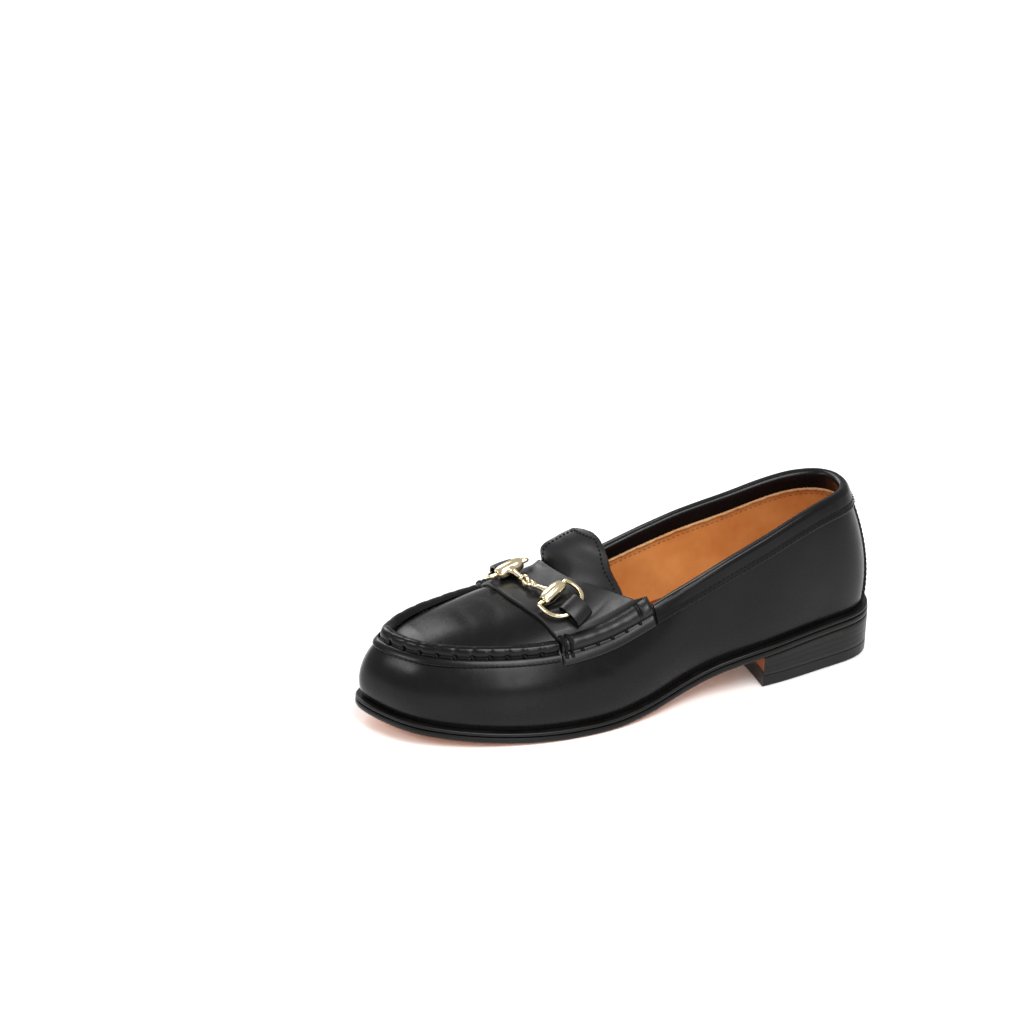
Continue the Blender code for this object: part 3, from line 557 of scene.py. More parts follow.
# Natural brown leather showing on the heel's breast
breastLeather = leather("brown heel breast", "#7d4222", "#975a35", rough=(0.55, 0.7), grain=0.0005,
                        grainDepth=0.00003, wave=0.0001, coat=(0.0, 0.3), shine=0.3)


def threadMaterial(name, dark, light, rough, shine):
    # Twisted sewing thread.
    made, tree, shader, place = newMaterial(name)
    twist = noise(tree, place, 0.0003, 2.0)
    tree.links.new(mixed(tree, twist, dark, light), shader.inputs["Base Color"])
    shader.inputs["Roughness"].default_value = rough
    shader.inputs["Specular IOR Level"].default_value = shine
    bumped(tree, shader, [(twist, 0.00002)])
    return made


def edgeDressing(name, streak, low, high, rough):
    # Black dressing on cut leather edges, with streaks along the layers.
    made, tree, shader, place = newMaterial(name)
    stretch = addNode(tree, "ShaderNodeMapping", [("Vector", place)], [("Scale", (1.0, 1.0, streak))])
    lines = noise(tree, stretch.outputs["Vector"], 0.02, 5.0, 0.6)
    tree.links.new(mixed(tree, remap(tree, lines, 0.0, 1.0), low, high), shader.inputs["Base Color"])
    tree.links.new(remap(tree, lines, rough[0], rough[1]), shader.inputs["Roughness"])
    shader.inputs["Specular IOR Level"].default_value = 0.22
    bumped(tree, shader, [(lines, 0.00002), (noise(tree, place, 0.0008), 0.000008)])
    return made


def paleBrass():
    # Pale gold plating with faint wear.
    made, tree, shader, place = newMaterial("pale gold brass")
    cloud = noise(tree, place, 0.004, 5.0)
    worn = mixed(tree, remap(tree, cloud, 0.0, 1.0), "#d9c8a0", "#e8dab8")
    tree.links.new(worn, shader.inputs["Base Color"])
    tree.links.new(remap(tree, cloud, 0.12, 0.22), shader.inputs["Roughness"])
    shader.inputs["Metallic"].default_value = 1.0
    bumped(tree, shader, [(noise(tree, place, 0.0012, 4.0), 0.000008)])
    return made


thread = threadMaterial("waxed black thread", "#020202", "#070707", 0.60, 0.15)
liningThread = threadMaterial("tan thread", "#7a4a26", "#8f5b33", 0.7, 0.5)
soleEdgeBlack = edgeDressing("black sole edge", 14.0, "#080707", "#11100f", (0.28, 0.40))
heelSideBlack = edgeDressing("black heel side", 30.0, "#090808", "#131110", (0.32, 0.44))
brass = paleBrass()


# Upper: polished outside, tan lining inside

upperSettings = {"around": 264, "wallRows": 32, "topColumns": 60, "topRows": 84}


def vampTroughs(station, share):
    # Depth of the soft creases where the vamp bends, just ahead of the strap.
    depth = 0.00022 * bumpAt(station, 7.55 + 0.10 * math.sin(9 * share), 0.11)
    depth += 0.00014 * bumpAt(station, 7.95 - 0.16 * (share - 0.5), 0.09)
    return depth * bumpAt(share, 0.5, 0.30)


def wallTroughs(station, share):
    # Depth of the soft creases on the wall beside the ball of the foot.
    depth = 0.00025 * bumpAt(share, 0.60 + 0.35 * (station - 6.3), 0.05) * bumpAt(station, 6.3, 0.22)
    depth += 0.00022 * bumpAt(share, 0.62 - 0.30 * (station - 15.6), 0.05) * bumpAt(station, 15.6, 0.25)
    depth += 0.00020 * bumpAt(share, 0.55 + 0.6 * (station - 2.2), 0.06) * bumpAt(station, 2.2, 0.25)
    return depth


def makeUpper():
    mesh = bmesh.new()
    around = [stationCount * k / upperSettings["around"] for k in range(upperSettings["around"])]
    for inside in (False, True):
        slot = 1 if inside else 0
        rows = []
        for r in range(upperSettings["wallRows"] + 1):
            share = r / upperSettings["wallRows"]
            if inside:
                rows.append([innerWall(s, share) for s in around])
            else:
                rows.append([raisedWall(s, share, -wallTroughs(s, share) * math.sin(math.pi * share))
                             for s in around])
        addGrid(mesh, rows, closed=True, slot=slot)
        rows = []
        for r in range(upperSettings["topRows"] + 1):
            left = 1 - r / upperSettings["topRows"]
            station = toeStation - (toeStation - 5) * left
            row = []
            for c in range(upperSettings["topColumns"] + 1):
                share = c / upperSettings["topColumns"]
                here = station + (throat(share) - 5) * left
                if inside:
                    row.append(innerTop(here, share))
                else:
                    level = 4 * share * (1 - share)
                    row.append(raisedTop(here, share, -vampTroughs(here, share) * level)
                               if 0 < share < 1 and here < 10.8 else top(here, share))
            rows.append(row)
        addGrid(mesh, rows, slot=slot)
        if inside:
            innerRim = rows[0]
        else:
            outerRim = rows[0]
    addGrid(mesh, [[wall(s, 0.0) for s in around], [innerWall(s, 0.0) for s in around]], closed=True)
    collar = [s % stationCount for s in spread(-5.0, 5.0, 120)]
    addGrid(mesh, [[wall(s, 1.0) for s in collar] + outerRim[1:-1],
                   [innerWall(s, 1.0) for s in collar] + innerRim[1:-1]], closed=True)
    finishPiece("upper_leather", mesh, [calf, liningLeather], "upper", angle=42, weld=2e-5)


# Seam roll round the toe

beadSettings = {"width": 0.0058, "height": 0.0040, "rows": 420, "pitch": 0.0080, "first": 7.035}
# Section of the roll and its lip: distance from the seam in roll widths, rise in roll heights
beadTable = ((-1.44, 0.12), (-1.40, 0.28), (-1.30, 0.33), (-1.05, 0.35), (-0.80, 0.30), (-0.63, 0.10),
             (-0.52, 0.50), (-0.34, 0.84), (-0.12, 1.00), (0.12, 0.99), (0.32, 0.78), (0.46, 0.40),
             (0.50, 0.10))


def seamPath(first, end, count=400):
    # Stations, places and lengths along the seam.
    found = spread(first, end, count)
    return np.array(found), runLengths([wall(s, 1.0) for s in found])


def pinchAt(length, pitch):
    # 1 at each stitch of the seam, falling off between them.
    phase = (length / pitch) % 1.0
    away = min(phase, 1 - phase) * pitch
    return math.exp(-(away / 0.0013) ** 2)


def makeSeam():
    first = beadSettings["first"]
    found, lengths = seamPath(first, stationCount - first)
    width, height = beadSettings["width"], beadSettings["height"]
    profile = rounded(beadTable, 1)
    rows = []
    for length in spread(0.0, lengths[-1], beadSettings["rows"]):
        station = float(np.interp(length, lengths, found))
        pinch = pinchAt(length, beadSettings["pitch"])
        swell = 0.015 * math.sin(length * 390) + 0.015 * math.sin(length * 230 + 1.0)
        row = []
        for distance, rise in profile:
            onTube = held((distance + 0.62) / 0.2)
            onLip = held((-1.2 - distance) / 0.2)
            dent = 0.20 * pinch * bumpAt(distance, -0.50, 0.16)
            lift = rise * (1 + onTube * (swell - 0.04 * pinch)) - dent
            reach = distance * (1 - 0.04 * pinch * onTube) + 0.015 * onLip * math.sin(length * 2600)
            row.append(raisedSkin(station, reach * width, last["lay"] * 0.6 + max(lift, 0.04) * height))
        under = [raisedSkin(station, distance * width, last["lay"] * 0.3) for distance, _ in profile[::4]]
        rows.append(row + under[::-1])
    mesh = bmesh.new()
    addGrid(mesh, rows, closed=True)
    finishPiece("seam_roll", mesh, [calf], "moc_seam", angle=60, closeEnds=True)


def makeSeamStitches():
    # Dark stitches sunk in the groove beside the roll.
    first = beadSettings["first"]
    mesh = bmesh.new()
    sewGroove(mesh, seamPath(first, stationCount - first)[0], beadSettings, (beadSettings["pitch"], 0.003),
              (-0.80, 0.30), (-0.52, 0.50), (0.0030, 0.0014, 0.0012))
    finishPiece("seam_stitches", mesh, [thread])


# Saddle strap

strapSettings = {"width": 0.0074, "height": 0.0048, "thick": 0.0018, "rows": 110, "middle": 90,
                 "pitch": 0.0078}


def strapRun(share, run):
    rear, front = strapEdge(share)
    return front + (rear - front) * run


def strapSide(run, side):
    # Station of the strap's outer (1) or inner (-1) end at a share from front to rear.
    base = strapRun(0.0 if side > 0 else 1.0, run)
    return base if side > 0 else acrossStation(base)


def strapCreases(share, station):
    # Height of the soft folds beside the keepers and along the rear edge.
    lift = 0.00035 * bumpAt(share, 0.245, 0.012) * bumpAt(station, 6.75, 0.25)
    lift -= 0.00035 * bumpAt(share, 0.265, 0.012) * bumpAt(station, 6.72, 0.22)
    lift -= 0.00025 * bumpAt(share + 0.10 * (station - 6.2), 0.115, 0.010) * bumpAt(station, 6.2, 0.3)
    lift -= 0.00025 * bumpAt(share, 0.60, 0.02) * bumpAt(station, 6.85, 0.2)
    lift -= 0.00030 * bumpAt(station, 6.45, 0.06) * bumpAt(share, 0.40, 0.07)
    return lift


def rollShape(run, side):
    # Height factor of the roll along the strap, from its front to its rear.
    wrap = bumpAt(run, 0.03, 0.018) + bumpAt(run, 0.09, 0.018)
    groove = bumpAt(run, 0.84, 0.016)
    bulb = bumpAt(run, 0.93, 0.06)
    end = min(1.0, (1 - run) / 0.05) ** 0.5
    puckers = 0.022 * math.sin(run * 44 + side) + 0.015 * math.sin(run * 27)
    return (1 + puckers * 0.6 - 0.10 * wrap - 0.34 * groove + 0.12 * bulb) * (0.55 + 0.45 * end)


def makeStrap():
    settings = strapSettings
    profile = rounded(beadTable, 1)
    middle = [0.5 + (k / settings["middle"] - 0.5) * 0.86 for k in range(settings["middle"] + 1)]
    tops, unders = [], []
    for r in range(settings["rows"] + 1):
        run = r / settings["rows"]
        edge = min(run, 1 - run) / 0.022
        soft = 1 - 0.55 * max(0.0, 1 - edge) ** 2
        topRow, underRow = [], []
        for side in (1, -1):
            ends, under = [], []
            for distance, rise in profile:
                station = strapSide(run, side)
                onRoll = held((distance + 0.62) / 0.2)
                shape = 1 + (rollShape(run, side) - 1) * onRoll
                height = max(rise * shape, 0.2) * settings["height"] * soft
                reach = distance * settings["width"]
                ends.append(raisedSkin(station, reach, last["lay"] * 0.6 + height))
                under.append(raisedSkin(station, reach, last["lay"] * 0.3))
            if side > 0:
                topRow, underRow = ends, under
                for share in middle[1:-1]:
                    station = strapRun(share, run)
                    near = min(share - 0.055, 0.945 - share)
                    blend = 1.0 - 0.25 * max(0.0, 1 - near / 0.03)
                    curl = 0.0014 * bumpAt(share, 0.80, 0.11) * bumpAt(run, 1.0, 0.10)
                    height = settings["thick"] * soft * blend + strapCreases(share, station) + curl
                    topRow.append(raisedTop(station, share, last["lay"] * 0.6 + height))
                    underRow.append(raisedTop(station, share, last["lay"] * 0.3 + curl))
            else:
                topRow = topRow + ends[::-1]
                underRow = underRow + under[::-1]
        tops.append(topRow)
        unders.append(underRow)
    mesh = bmesh.new()
    addGrid(mesh, tops)
    addGrid(mesh, unders)
    rims = [rows[0] + [row[-1] for row in rows[1:-1]] + rows[-1][::-1] + [row[0] for row in rows[-2:0:-1]]
            for rows in (tops, unders)]
    addGrid(mesh, rims, closed=True)
    finishPiece("saddle_leather", mesh, [softCalf], "saddle_strap", angle=45)


def makeStrapStitches():
    # Stitches in the groove of the strap's rolls and the thong wraps at its front corners.
    mesh = bmesh.new()
    width, height = strapSettings["width"], strapSettings["height"]
    for side in (1, -1):
        found = [strapSide(run, side) for run in spread(0.0, 1.0, 60)]
        sewGroove(mesh, found, strapSettings, (0.010, 0.008), (-0.82, 0.28), (-0.50, 0.50),
                  (0.0036, 0.0016, 0.0013))
        lip = [raisedSkin(s, -1.44 * width, 0.0005) for s in found[2:-1]]
        sewAlong(mesh, lip, 0.0028, (0.0017, 0.0008, 0.0008))
        for run in (0.035, 0.085):
            station = strapSide(run, side)
            path = [raisedSkin(station, distance * width, 0.0003 + rise * height * 0.97)
                    for distance, rise in rounded(beadTable[3:], 2)]
            tubeAlong(mesh, path, 0.0009, 8)
    finishPiece("strap_stitches", mesh, [thread], closeEnds=True)


# Tongue

tongueSettings = {"thick": 0.0021, "across": 64, "steps": 12, "stitchInset": 0.0030, "stitchPitch": 0.0022}
tongueTable = ((0.543, 0.164, 0.618, -0.246, 1.024, 0.013, 0.028),
               (0.543, 0.114, 0.592, -0.208, 1.129, 0.011, 0.022),
               (0.543, 0.059, 0.574, -0.169, 1.195, 0.008, 0.014),
               (0.544, 0.020, 0.568, -0.143, 1.222, 0.005, 0.008),
               (0.547, -0.026, 0.561, -0.104, 1.236, 0.002, 0.003),
               (0.550, -0.047, 0.557, -0.086, 1.241, 0.001, 0.001))


def tongueRows():
    # Rows of the tongue's face from its hidden root to its tip.
    depth = -(last["wall"] + 3 * last["gap"])
    columns = [c / tongueSettings["across"] for c in range(tongueSettings["across"] + 1)]
    rows = []
    for ahead, first, end in ((0.30, 0.20, 0.82), (0.03, 0.18, 0.83)):
        rows.append([raisedTop(throat(first + (end - first) * c) + ahead, first + (end - first) * c, depth)
                     for c in columns])
    rows.append([raisedTop(strapEdge(0.14 + 0.72 * c)[0], 0.14 + 0.72 * c,
                           -last["gap"]) for c in columns])
    base = soleHeight(0.6 * last["length"]) + featherHeight
    scale = np.array([last["length"], last["ballWidth"]])
    for row in tongueTable:
        outer, inner = np.array(row[:2]) * scale, np.array(row[2:4]) * scale
        line = []
        for c in columns:
            arch = 1 - (2 * c - 1) ** 2
            along, across = outer + (inner - outer) * c
            line.append(world(along + row[5] * last["length"] * arch, across,
                              base + last["quarterHeight"] * (row[4] + row[6] * arch)))
        rows.append(line)
    fine = []
    steps = tongueSettings["steps"]
    for i in range(len(rows) - 1):
        for k in range(steps if i < len(rows) - 2 else steps + 1):
            u = k / steps
            before, after = rows[max(i - 1, 0)], rows[min(i + 2, len(rows) - 1)]
            fine.append([0.5 * ((2 * b) + (c - a) * u + (2 * a - 5 * b + 4 * c - d) * u * u
                                + (3 * b - a - 3 * c + d) * u ** 3)
                         for a, b, c, d in zip(before, rows[i], rows[i + 1], after)])
    return fine


def makeTongue():
    rows = tongueRows()
    mesh = bmesh.new()
    addGrid(mesh, rows)
    bmesh.ops.remove_doubles(mesh, verts=mesh.verts, dist=1e-6)
    thicken(mesh, Vector((0, 0, 1)), tongueSettings["thick"])
    piece = finishPiece("tongue_leather", mesh, [softCalf], "tongue", angle=60)
    soften = piece.modifiers.new("Soft edge", "BEVEL")
    soften.width = 0.0005
    soften.segments = 3
    soften.limit_method = "ANGLE"
    soften.angle_limit = math.radians(50)


def makeTongueStitches():
    # Edge stitching of the tongue, in small sunk holes.
    rows = tongueRows()
    start = 2 * tongueSettings["steps"] + 3
    inset = tongueSettings["stitchInset"]

    def pulled(row, left):
        total = runLengths(row)[-1]
        share = min(0.5, inset / max(total, 1e-5))
        at = (share if left else 1 - share) * (len(row) - 1)
        i = min(int(at), len(row) - 2)
        return row[i] + (row[i + 1] - row[i]) * (at - i)

    tip = rows[-1]
    free = [row for row in rows[start:] if np.linalg.norm(row[32] - tip[32]) > inset]
    left = [pulled(row, True) for row in free]
    right = [pulled(row, False) for row in free]
    lastRow = free[-1]

    def apart(point, others, least):
        return min(np.linalg.norm(point - other) for other in others) > least

    inner = [point for point in lastRow if apart(point, (left[-1], right[-1]), 0.0015)
             and apart(point, (lastRow[0], lastRow[-1]), inset)]
    path = left + inner + right[::-1]
    mesh = bmesh.new()
    sewAlong(mesh, path, tongueSettings["stitchPitch"], (0.0016, 0.0010, 0.0009), (0.15, 0.75, 0.65))
    finishPiece("tongue_stitches", mesh, [thread])


# Collar binding and back stay

bindingSettings = {"thick": 0.0011, "outside": 0.0105, "inside": 0.0085, "rows": 240, "pitch": 0.0025}


def belowCollar(station, down, out):
    # Place on the wall at a distance down from the collar's edge, lifted off it.
    station %= stationCount
    return raisedWall(station, 1 - down / wallLength(round(station, 6)), out)


def makeBinding():
    thick, lay = bindingSettings["thick"], last["lay"]
    outside, inside = bindingSettings["outside"], bindingSettings["inside"]
    over, under = thick + lay, last["wall"] + lay
    inner = under + thick
    outer = ((outside, lay * 0.5), (outside, over * 0.75), (outside - 0.0004, over), (0.8 * outside, over),
             (0.66 * outside, over * 0.93), (0.5 * outside, over), (0.3 * outside, over * 1.02),
             (thick, over * 1.04), (-thick, 0.62 * over), (-1.55 * thick, -0.5 * last["wall"]),
             (-thick, -0.85 * inner), (thick, -inner), (0.5 * inside, -inner), (inside - 0.0003, -inner),
             (inside, -inner * 0.93), (inside, -under))
    hollow = ((0.5 * inside, -under), (-last["gap"], -under), (-last["gap"], lay * 0.5),
              (0.5 * outside, lay * 0.5))
    profile = rounded(outer, 2) + [np.array(point) for point in hollow]
    rows = []
    for station in spread(-5.01, 5.01, bindingSettings["rows"]):
        ripple = 0.00003 * math.sin(station * 9) + 0.00002 * math.sin(station * 17 + 1)
        rows.append([belowCollar(station, down, out + (ripple if out > 0 else 0)) for down, out in profile])
    mesh = bmesh.new()
    addGrid(mesh, rows, closed=True)
    finishPiece("collar_leather", mesh, [calf], "collar_binding", closeEnds=True)


def makeBindingStitches():
    # Double row of stitches near the binding's lower edge.
    mesh = bmesh.new()
    for down in (0.0071, 0.0092):
        out = last["lay"] + bindingSettings["thick"] * (0.95 if down < 0.008 else 1.0)
        path = [belowCollar(s, down, out) for s in spread(-4.85, 4.85, 300)]
        sewAlong(mesh, path, bindingSettings["pitch"], (0.0018, 0.0008, 0.0007))
    finishPiece("binding_stitches", mesh, [thread])


def makeLiningEdge():
    # Raw edge of the lining just below the binding's inner fold, with its stitches.
    mesh = bmesh.new()
    inside = bindingSettings["inside"]
    rows = []
    for station in spread(-4.95, 4.95, 240):
        rag = 0.00025 * math.sin(station * 23) + 0.0002 * math.sin(station * 51 + 2)
        section = ((0.0004, 0.0020), (0.0006 + rag * 0.3, 0.0032), (0.0018 + rag, 0.0033),
                   (0.0024 + rag, 0.0028), (0.0024 + rag, 0.0020))
        rows.append([belowCollar(station, inside + down, -out) for down, out in section])
    addGrid(mesh, rows, closed=True)
    finishPiece("lining_edge", mesh, [rawEdge], closeEnds=True)
    mesh = bmesh.new()
    path = [belowCollar(s, inside + 0.0052, -0.0021) for s in spread(-4.9, 4.9, 300)]
    sewAlong(mesh, path, 0.0026, (0.0016, 0.0005, 0.0005))
    finishPiece("lining_stitches", mesh, [liningThread])


staySettings = {"half": 0.30, "flare": 0.42, "low": 0.02, "thick": 0.0009, "rows": 40, "across": 16,
                "pitch": 0.0026, "stitch": 13.8}


def stayPoint(row, column, height):
    # Place on the back stay, counted in rows down and columns from its middle.
    high = 1 - (bindingSettings["outside"] + 0.0009) / wallLength(0)
    down = row / staySettings["rows"]
    half = staySettings["half"] + staySettings["flare"] * down ** 1.5
    share = high + (staySettings["low"] - high) * down
    return raisedWall((half * column / staySettings["across"]) % stationCount, share, height)


def makeStay():
    lay, across, count = last["lay"] * 0.4, staySettings["across"], staySettings["rows"]
    mesh = bmesh.new()
    addGrid(mesh, [[stayPoint(r, c, lay) for c in range(-across, across + 1)] for r in range(count + 1)])
    thicken(mesh, Vector((0, -1, 0)), staySettings["thick"])
    finishPiece("stay_leather", mesh, [calf], "back_stay", angle=60)
    mesh = bmesh.new()
    for c in (-staySettings["stitch"], staySettings["stitch"]):
        path = [stayPoint(r, c, lay + staySettings["thick"]) for r in range(count)]
        sewAlong(mesh, path, staySettings["pitch"], (0.0017, 0.0006, 0.0005), (0, 1, 0), 0.001)
    finishPiece("stay_stitches", mesh, [thread])


# Sole

soleSettings = {"around": 352, "columns": 12}


def makePlate(name, rows, materials, node, capSlots):
    # Layer of the sole: its side through (inset, rise, material) rows, and a cap on each face.
    mesh = bmesh.new()
    around = [stationCount * k / soleSettings["around"] for k in range(soleSettings["around"])]

    def at(station, inset, rise):
        point, _ = soleEdge(station, inset)
        return world(*point, soleHeight(point[0]) + rise)

    for low, high in zip(rows, rows[1:]):
        band = [[at(s, *level[:2]) for s in around] for level in (low, high)]
        addGrid(mesh, band, closed=True, slot=low[2])
    for (inset, rise, _), slotIndex in zip((rows[0], rows[-1]), capSlots):
        lines = []
        for k in range(soleSettings["around"] // 2 + 1):
            station = stationCount * k / soleSettings["around"]
            outer, _ = soleEdge(station, inset)
            inner, _ = soleEdge(acrossStation(station) % stationCount, inset)
            points = spread(outer, inner, soleSettings["columns"])
            lines.append([world(*point, soleHeight(point[0]) + rise) for point in points])
        addGrid(mesh, lines, slot=slotIndex)
    finishPiece(name, mesh, materials, node, angle=35, weld=1e-6)


def makeInsoleFlank():
    # Edge of the insole cover that climbs the inner side under the arch, with needle holes.
    rows = []
    for k in range(61):
        station = 14.6 + 5.0 * k / 60
        high = 0.015 + 0.235 * math.sin(math.pi * k / 60) ** 0.6
        rows.append([innerWall(station, high * r / 8, 0.0006) for r in range(9)]
                    + [innerWall(station, high, 0.0001)])
    mesh = bmesh.new()
    addGrid(mesh, rows)
    finishPiece("insole_flank", mesh, [insoleLeather])
    mesh = bmesh.new()
    for down in (0.70, 0.82):
        path = [row[8] + (row[0] - row[8]) * (1 - down) for row in rows[4:-4]]
        sewAlong(mesh, path, 0.0032, (0.0014, 0.0009, 0.0008), (1.0, 0.0, 0.3))
    finishPiece("insole_holes", mesh, [liningThread])


def makeSole():
    t = last["outsole"]
    edge = [(0.0012, 0.0, 0), (0.0004, t * 0.10, 1), (0.0, t * 0.32, 1), (0.0, t * 0.78, 1),
            (0.0003, t * 0.95, 1), (0.0008, t, 1)]
    makePlate("outsole_leather", edge, [soleLeather, soleEdgeBlack], "outsole", (0, 1))
    insoleBase = last["outsole"] + last["gap"]
    makePlate("insole_cover", [(0.0061, insoleBase, 0), (0.0061, insoleBase + 0.0030, 0),
                               (0.0065, insoleBase + 0.0034, 0)],
              [insoleLeather], "insole", (0, 0))
    makeInsoleFlank()
    mesh = bmesh.new()
    rows = []
    wt = last["welt"]
    profile = rounded(((0.0012, -0.0001), (0.0002, 0.15 * wt), (0.0002, 0.9 * wt), (0.0012, wt * 1.05)), 2)
    profile += [np.array((0.0058, wt)), np.array((0.0058, 0.0))]
    for k in range(soleSettings["around"]):
        row = []
        for inset, rise in profile:
            point, _ = soleEdge(stationCount * k / soleSettings["around"], float(inset))
            row.append(world(*point, soleHeight(point[0]) + weltBottom + rise))
        rows.append(row)
    addGrid(mesh, rows + rows[:1], closed=True)
    finishPiece("welt_leather", mesh, [soleEdgeBlack], "welt", angle=40)


heelSettings = {"length": 0.0686, "taper": 0.0008, "dip": 0.0015, "lift": 0.0060}


@lru_cache(maxsize=None)
def heelSide(along, side):
    low, high = 0.0, 4.0
    for _ in range(36):
        middle = (low + high) / 2
        here = middle if side > 0 else acrossStation(middle)
        if soleEdge(here)[0][0] < along:
            low = middle
        else:
            high = middle
    return soleEdge(low if side > 0 else acrossStation(low))[0][1]


def heelRim(inset, height, count=72, across=24):
    # Closed outline of the heel at an inset: outer side, breast, inner side.
    def section(along, share):
        outer, inner = heelSide(along, 1) - inset, heelSide(along, -1) + inset
        depth = (along / heelSettings["length"]) ** 6
        dip = heelSettings["dip"] * depth * (1 - (2 * share - 1) ** 2)
        return world(along - dip, outer + (inner - outer) * share, height(along))
    alongs = [inset + (heelSettings["length"] - inset) * (1 - math.cos(math.pi / 2 * k / count))
              for k in range(1, count + 1)]
    back = section(inset + 1e-5, 0.5)
    outerSide = [section(a, 0.0) for a in alongs]
    breast = [section(alongs[-1], c / across) for c in range(1, across)]
    innerSide = [section(a, 1.0) for a in reversed(alongs)]
    return [back] + outerSide + breast + innerSide


def makeHeelLayer(name, levels, sideMaterial, node):
    # Layer of the heel through (inset, height function) levels, brown on its breast.
    rims = [heelRim(inset, height) for inset, height in levels]
    mesh = bmesh.new()
    addGrid(mesh, rims, closed=True)
    bmesh.ops.remove_doubles(mesh, verts=mesh.verts, dist=1e-6)
    bmesh.ops.holes_fill(mesh, edges=[edge for edge in mesh.edges if edge.is_boundary], sides=0)
    front = last["length"] / 2 - heelSettings["length"]
    for face in mesh.faces:
        centre = face.calc_center_median()
        onBreast = centre.y < front + heelSettings["dip"] + 0.0002 and abs(face.normal.y) > 0.7
        if onBreast and node == "heel_stack" and centre.z > 0.0095:
            face.material_index = 1
    finishPiece(name, mesh, [sideMaterial, breastLeather], node, angle=35)


def makeHeel():
    liftTop = heelSettings["lift"]
    base = liftTop + last["gap"]

    def between(share):
        return lambda along: base + (soleHeight(along) - last["gap"] - base) * share

    taper = heelSettings["taper"]
    levels = [(taper + 0.0002, lambda along: base - 0.0001)]
    for share in (0.02, 0.24, 0.25, 0.26, 0.49, 0.50, 0.51, 0.74, 0.75, 0.76, 0.98):
        line = 0.00002 if share in (0.25, 0.50, 0.75) else 0.0
        levels.append((taper * (1 - share) + line, between(share)))
    levels.append((0.0003, lambda along: soleHeight(along) - 0.0001))
    makeHeelLayer("heel_leather", levels, heelSideBlack, "heel_stack")
    rubberLevels = [(taper * 1.6 + 0.0005, lambda along: 0.0), (taper * 1.6, lambda along: 0.0005),
                    (taper, lambda along: liftTop - 0.0002),
                    (taper + 0.0003, lambda along: liftTop + 0.0001)]
    makeHeelLayer("lift_rubber", rubberLevels, heelSideBlack, "top_lift")


# Bit

bitSettings = {"ringWire": 0.0011, "ringLength": 0.0205, "barrelLength": 0.0136, "barrelRadius": 0.0036,
               "armRoot": 0.0021, "armTip": 0.0013, "eyeRadius": 0.0022, "eyeWire": 0.00085,
               "keeperThick": 0.0010, "keeperWidth": 0.0100}
keeperReach = {"lateral": (0.0048, 0.0062), "medial": (0.0045, 0.0052)}
bitLink = (6.75, 0.525)
bitBarrels = {"lateral": (6.61, 0.325), "medial": (6.70, 0.755)}
bitKeepers = {"lateral": (6.47, 0.165), "medial": (6.64, 0.872)}


def strapFrame(spot, lift):
    # Place over the strap with its directions across and up.
    station, share = spot
    point = raisedTop(station, share, last["lay"] + strapSettings["thick"] + lift)
    up = raisedTop(station, share, 1.0) - raisedTop(station, share, 0.0)
    across = top(station, share - 0.03) - top(station, share + 0.03)
    across -= up * np.dot(across, up)
    across /= np.linalg.norm(across)
    return Vector(point), Vector(across), Vector(up)


def ringFrame(name):
    # Centre of a barrel, the reach of its ring, the barrel's axis and the way up.
    b = bitSettings
    centre, across, up = strapFrame(bitBarrels[name], b["barrelRadius"] + last["gap"])
    lift = last["lay"] + 2 * last["gap"] + b["keeperThick"] + b["ringWire"]
    bow, _, _ = strapFrame(bitKeepers[name], lift)
    reach = bow - centre
    axis = up.cross(across)
    axis = (axis - reach * (axis.dot(reach) / reach.length_squared)).normalized()
    return centre, reach, axis, up


def addTurned(mesh, centre, axis, up, profile, sides=48):
    # Turned shape round an axis from (place along it, radius) pairs.
    axis = axis.normalized()
    first = (up - axis * up.dot(axis)).normalized()
    second = axis.cross(first)
    rows = [circle(centre + axis * at, first, second, size, sides) for at, size in profile]
    return addGrid(mesh, rows, closed=True)


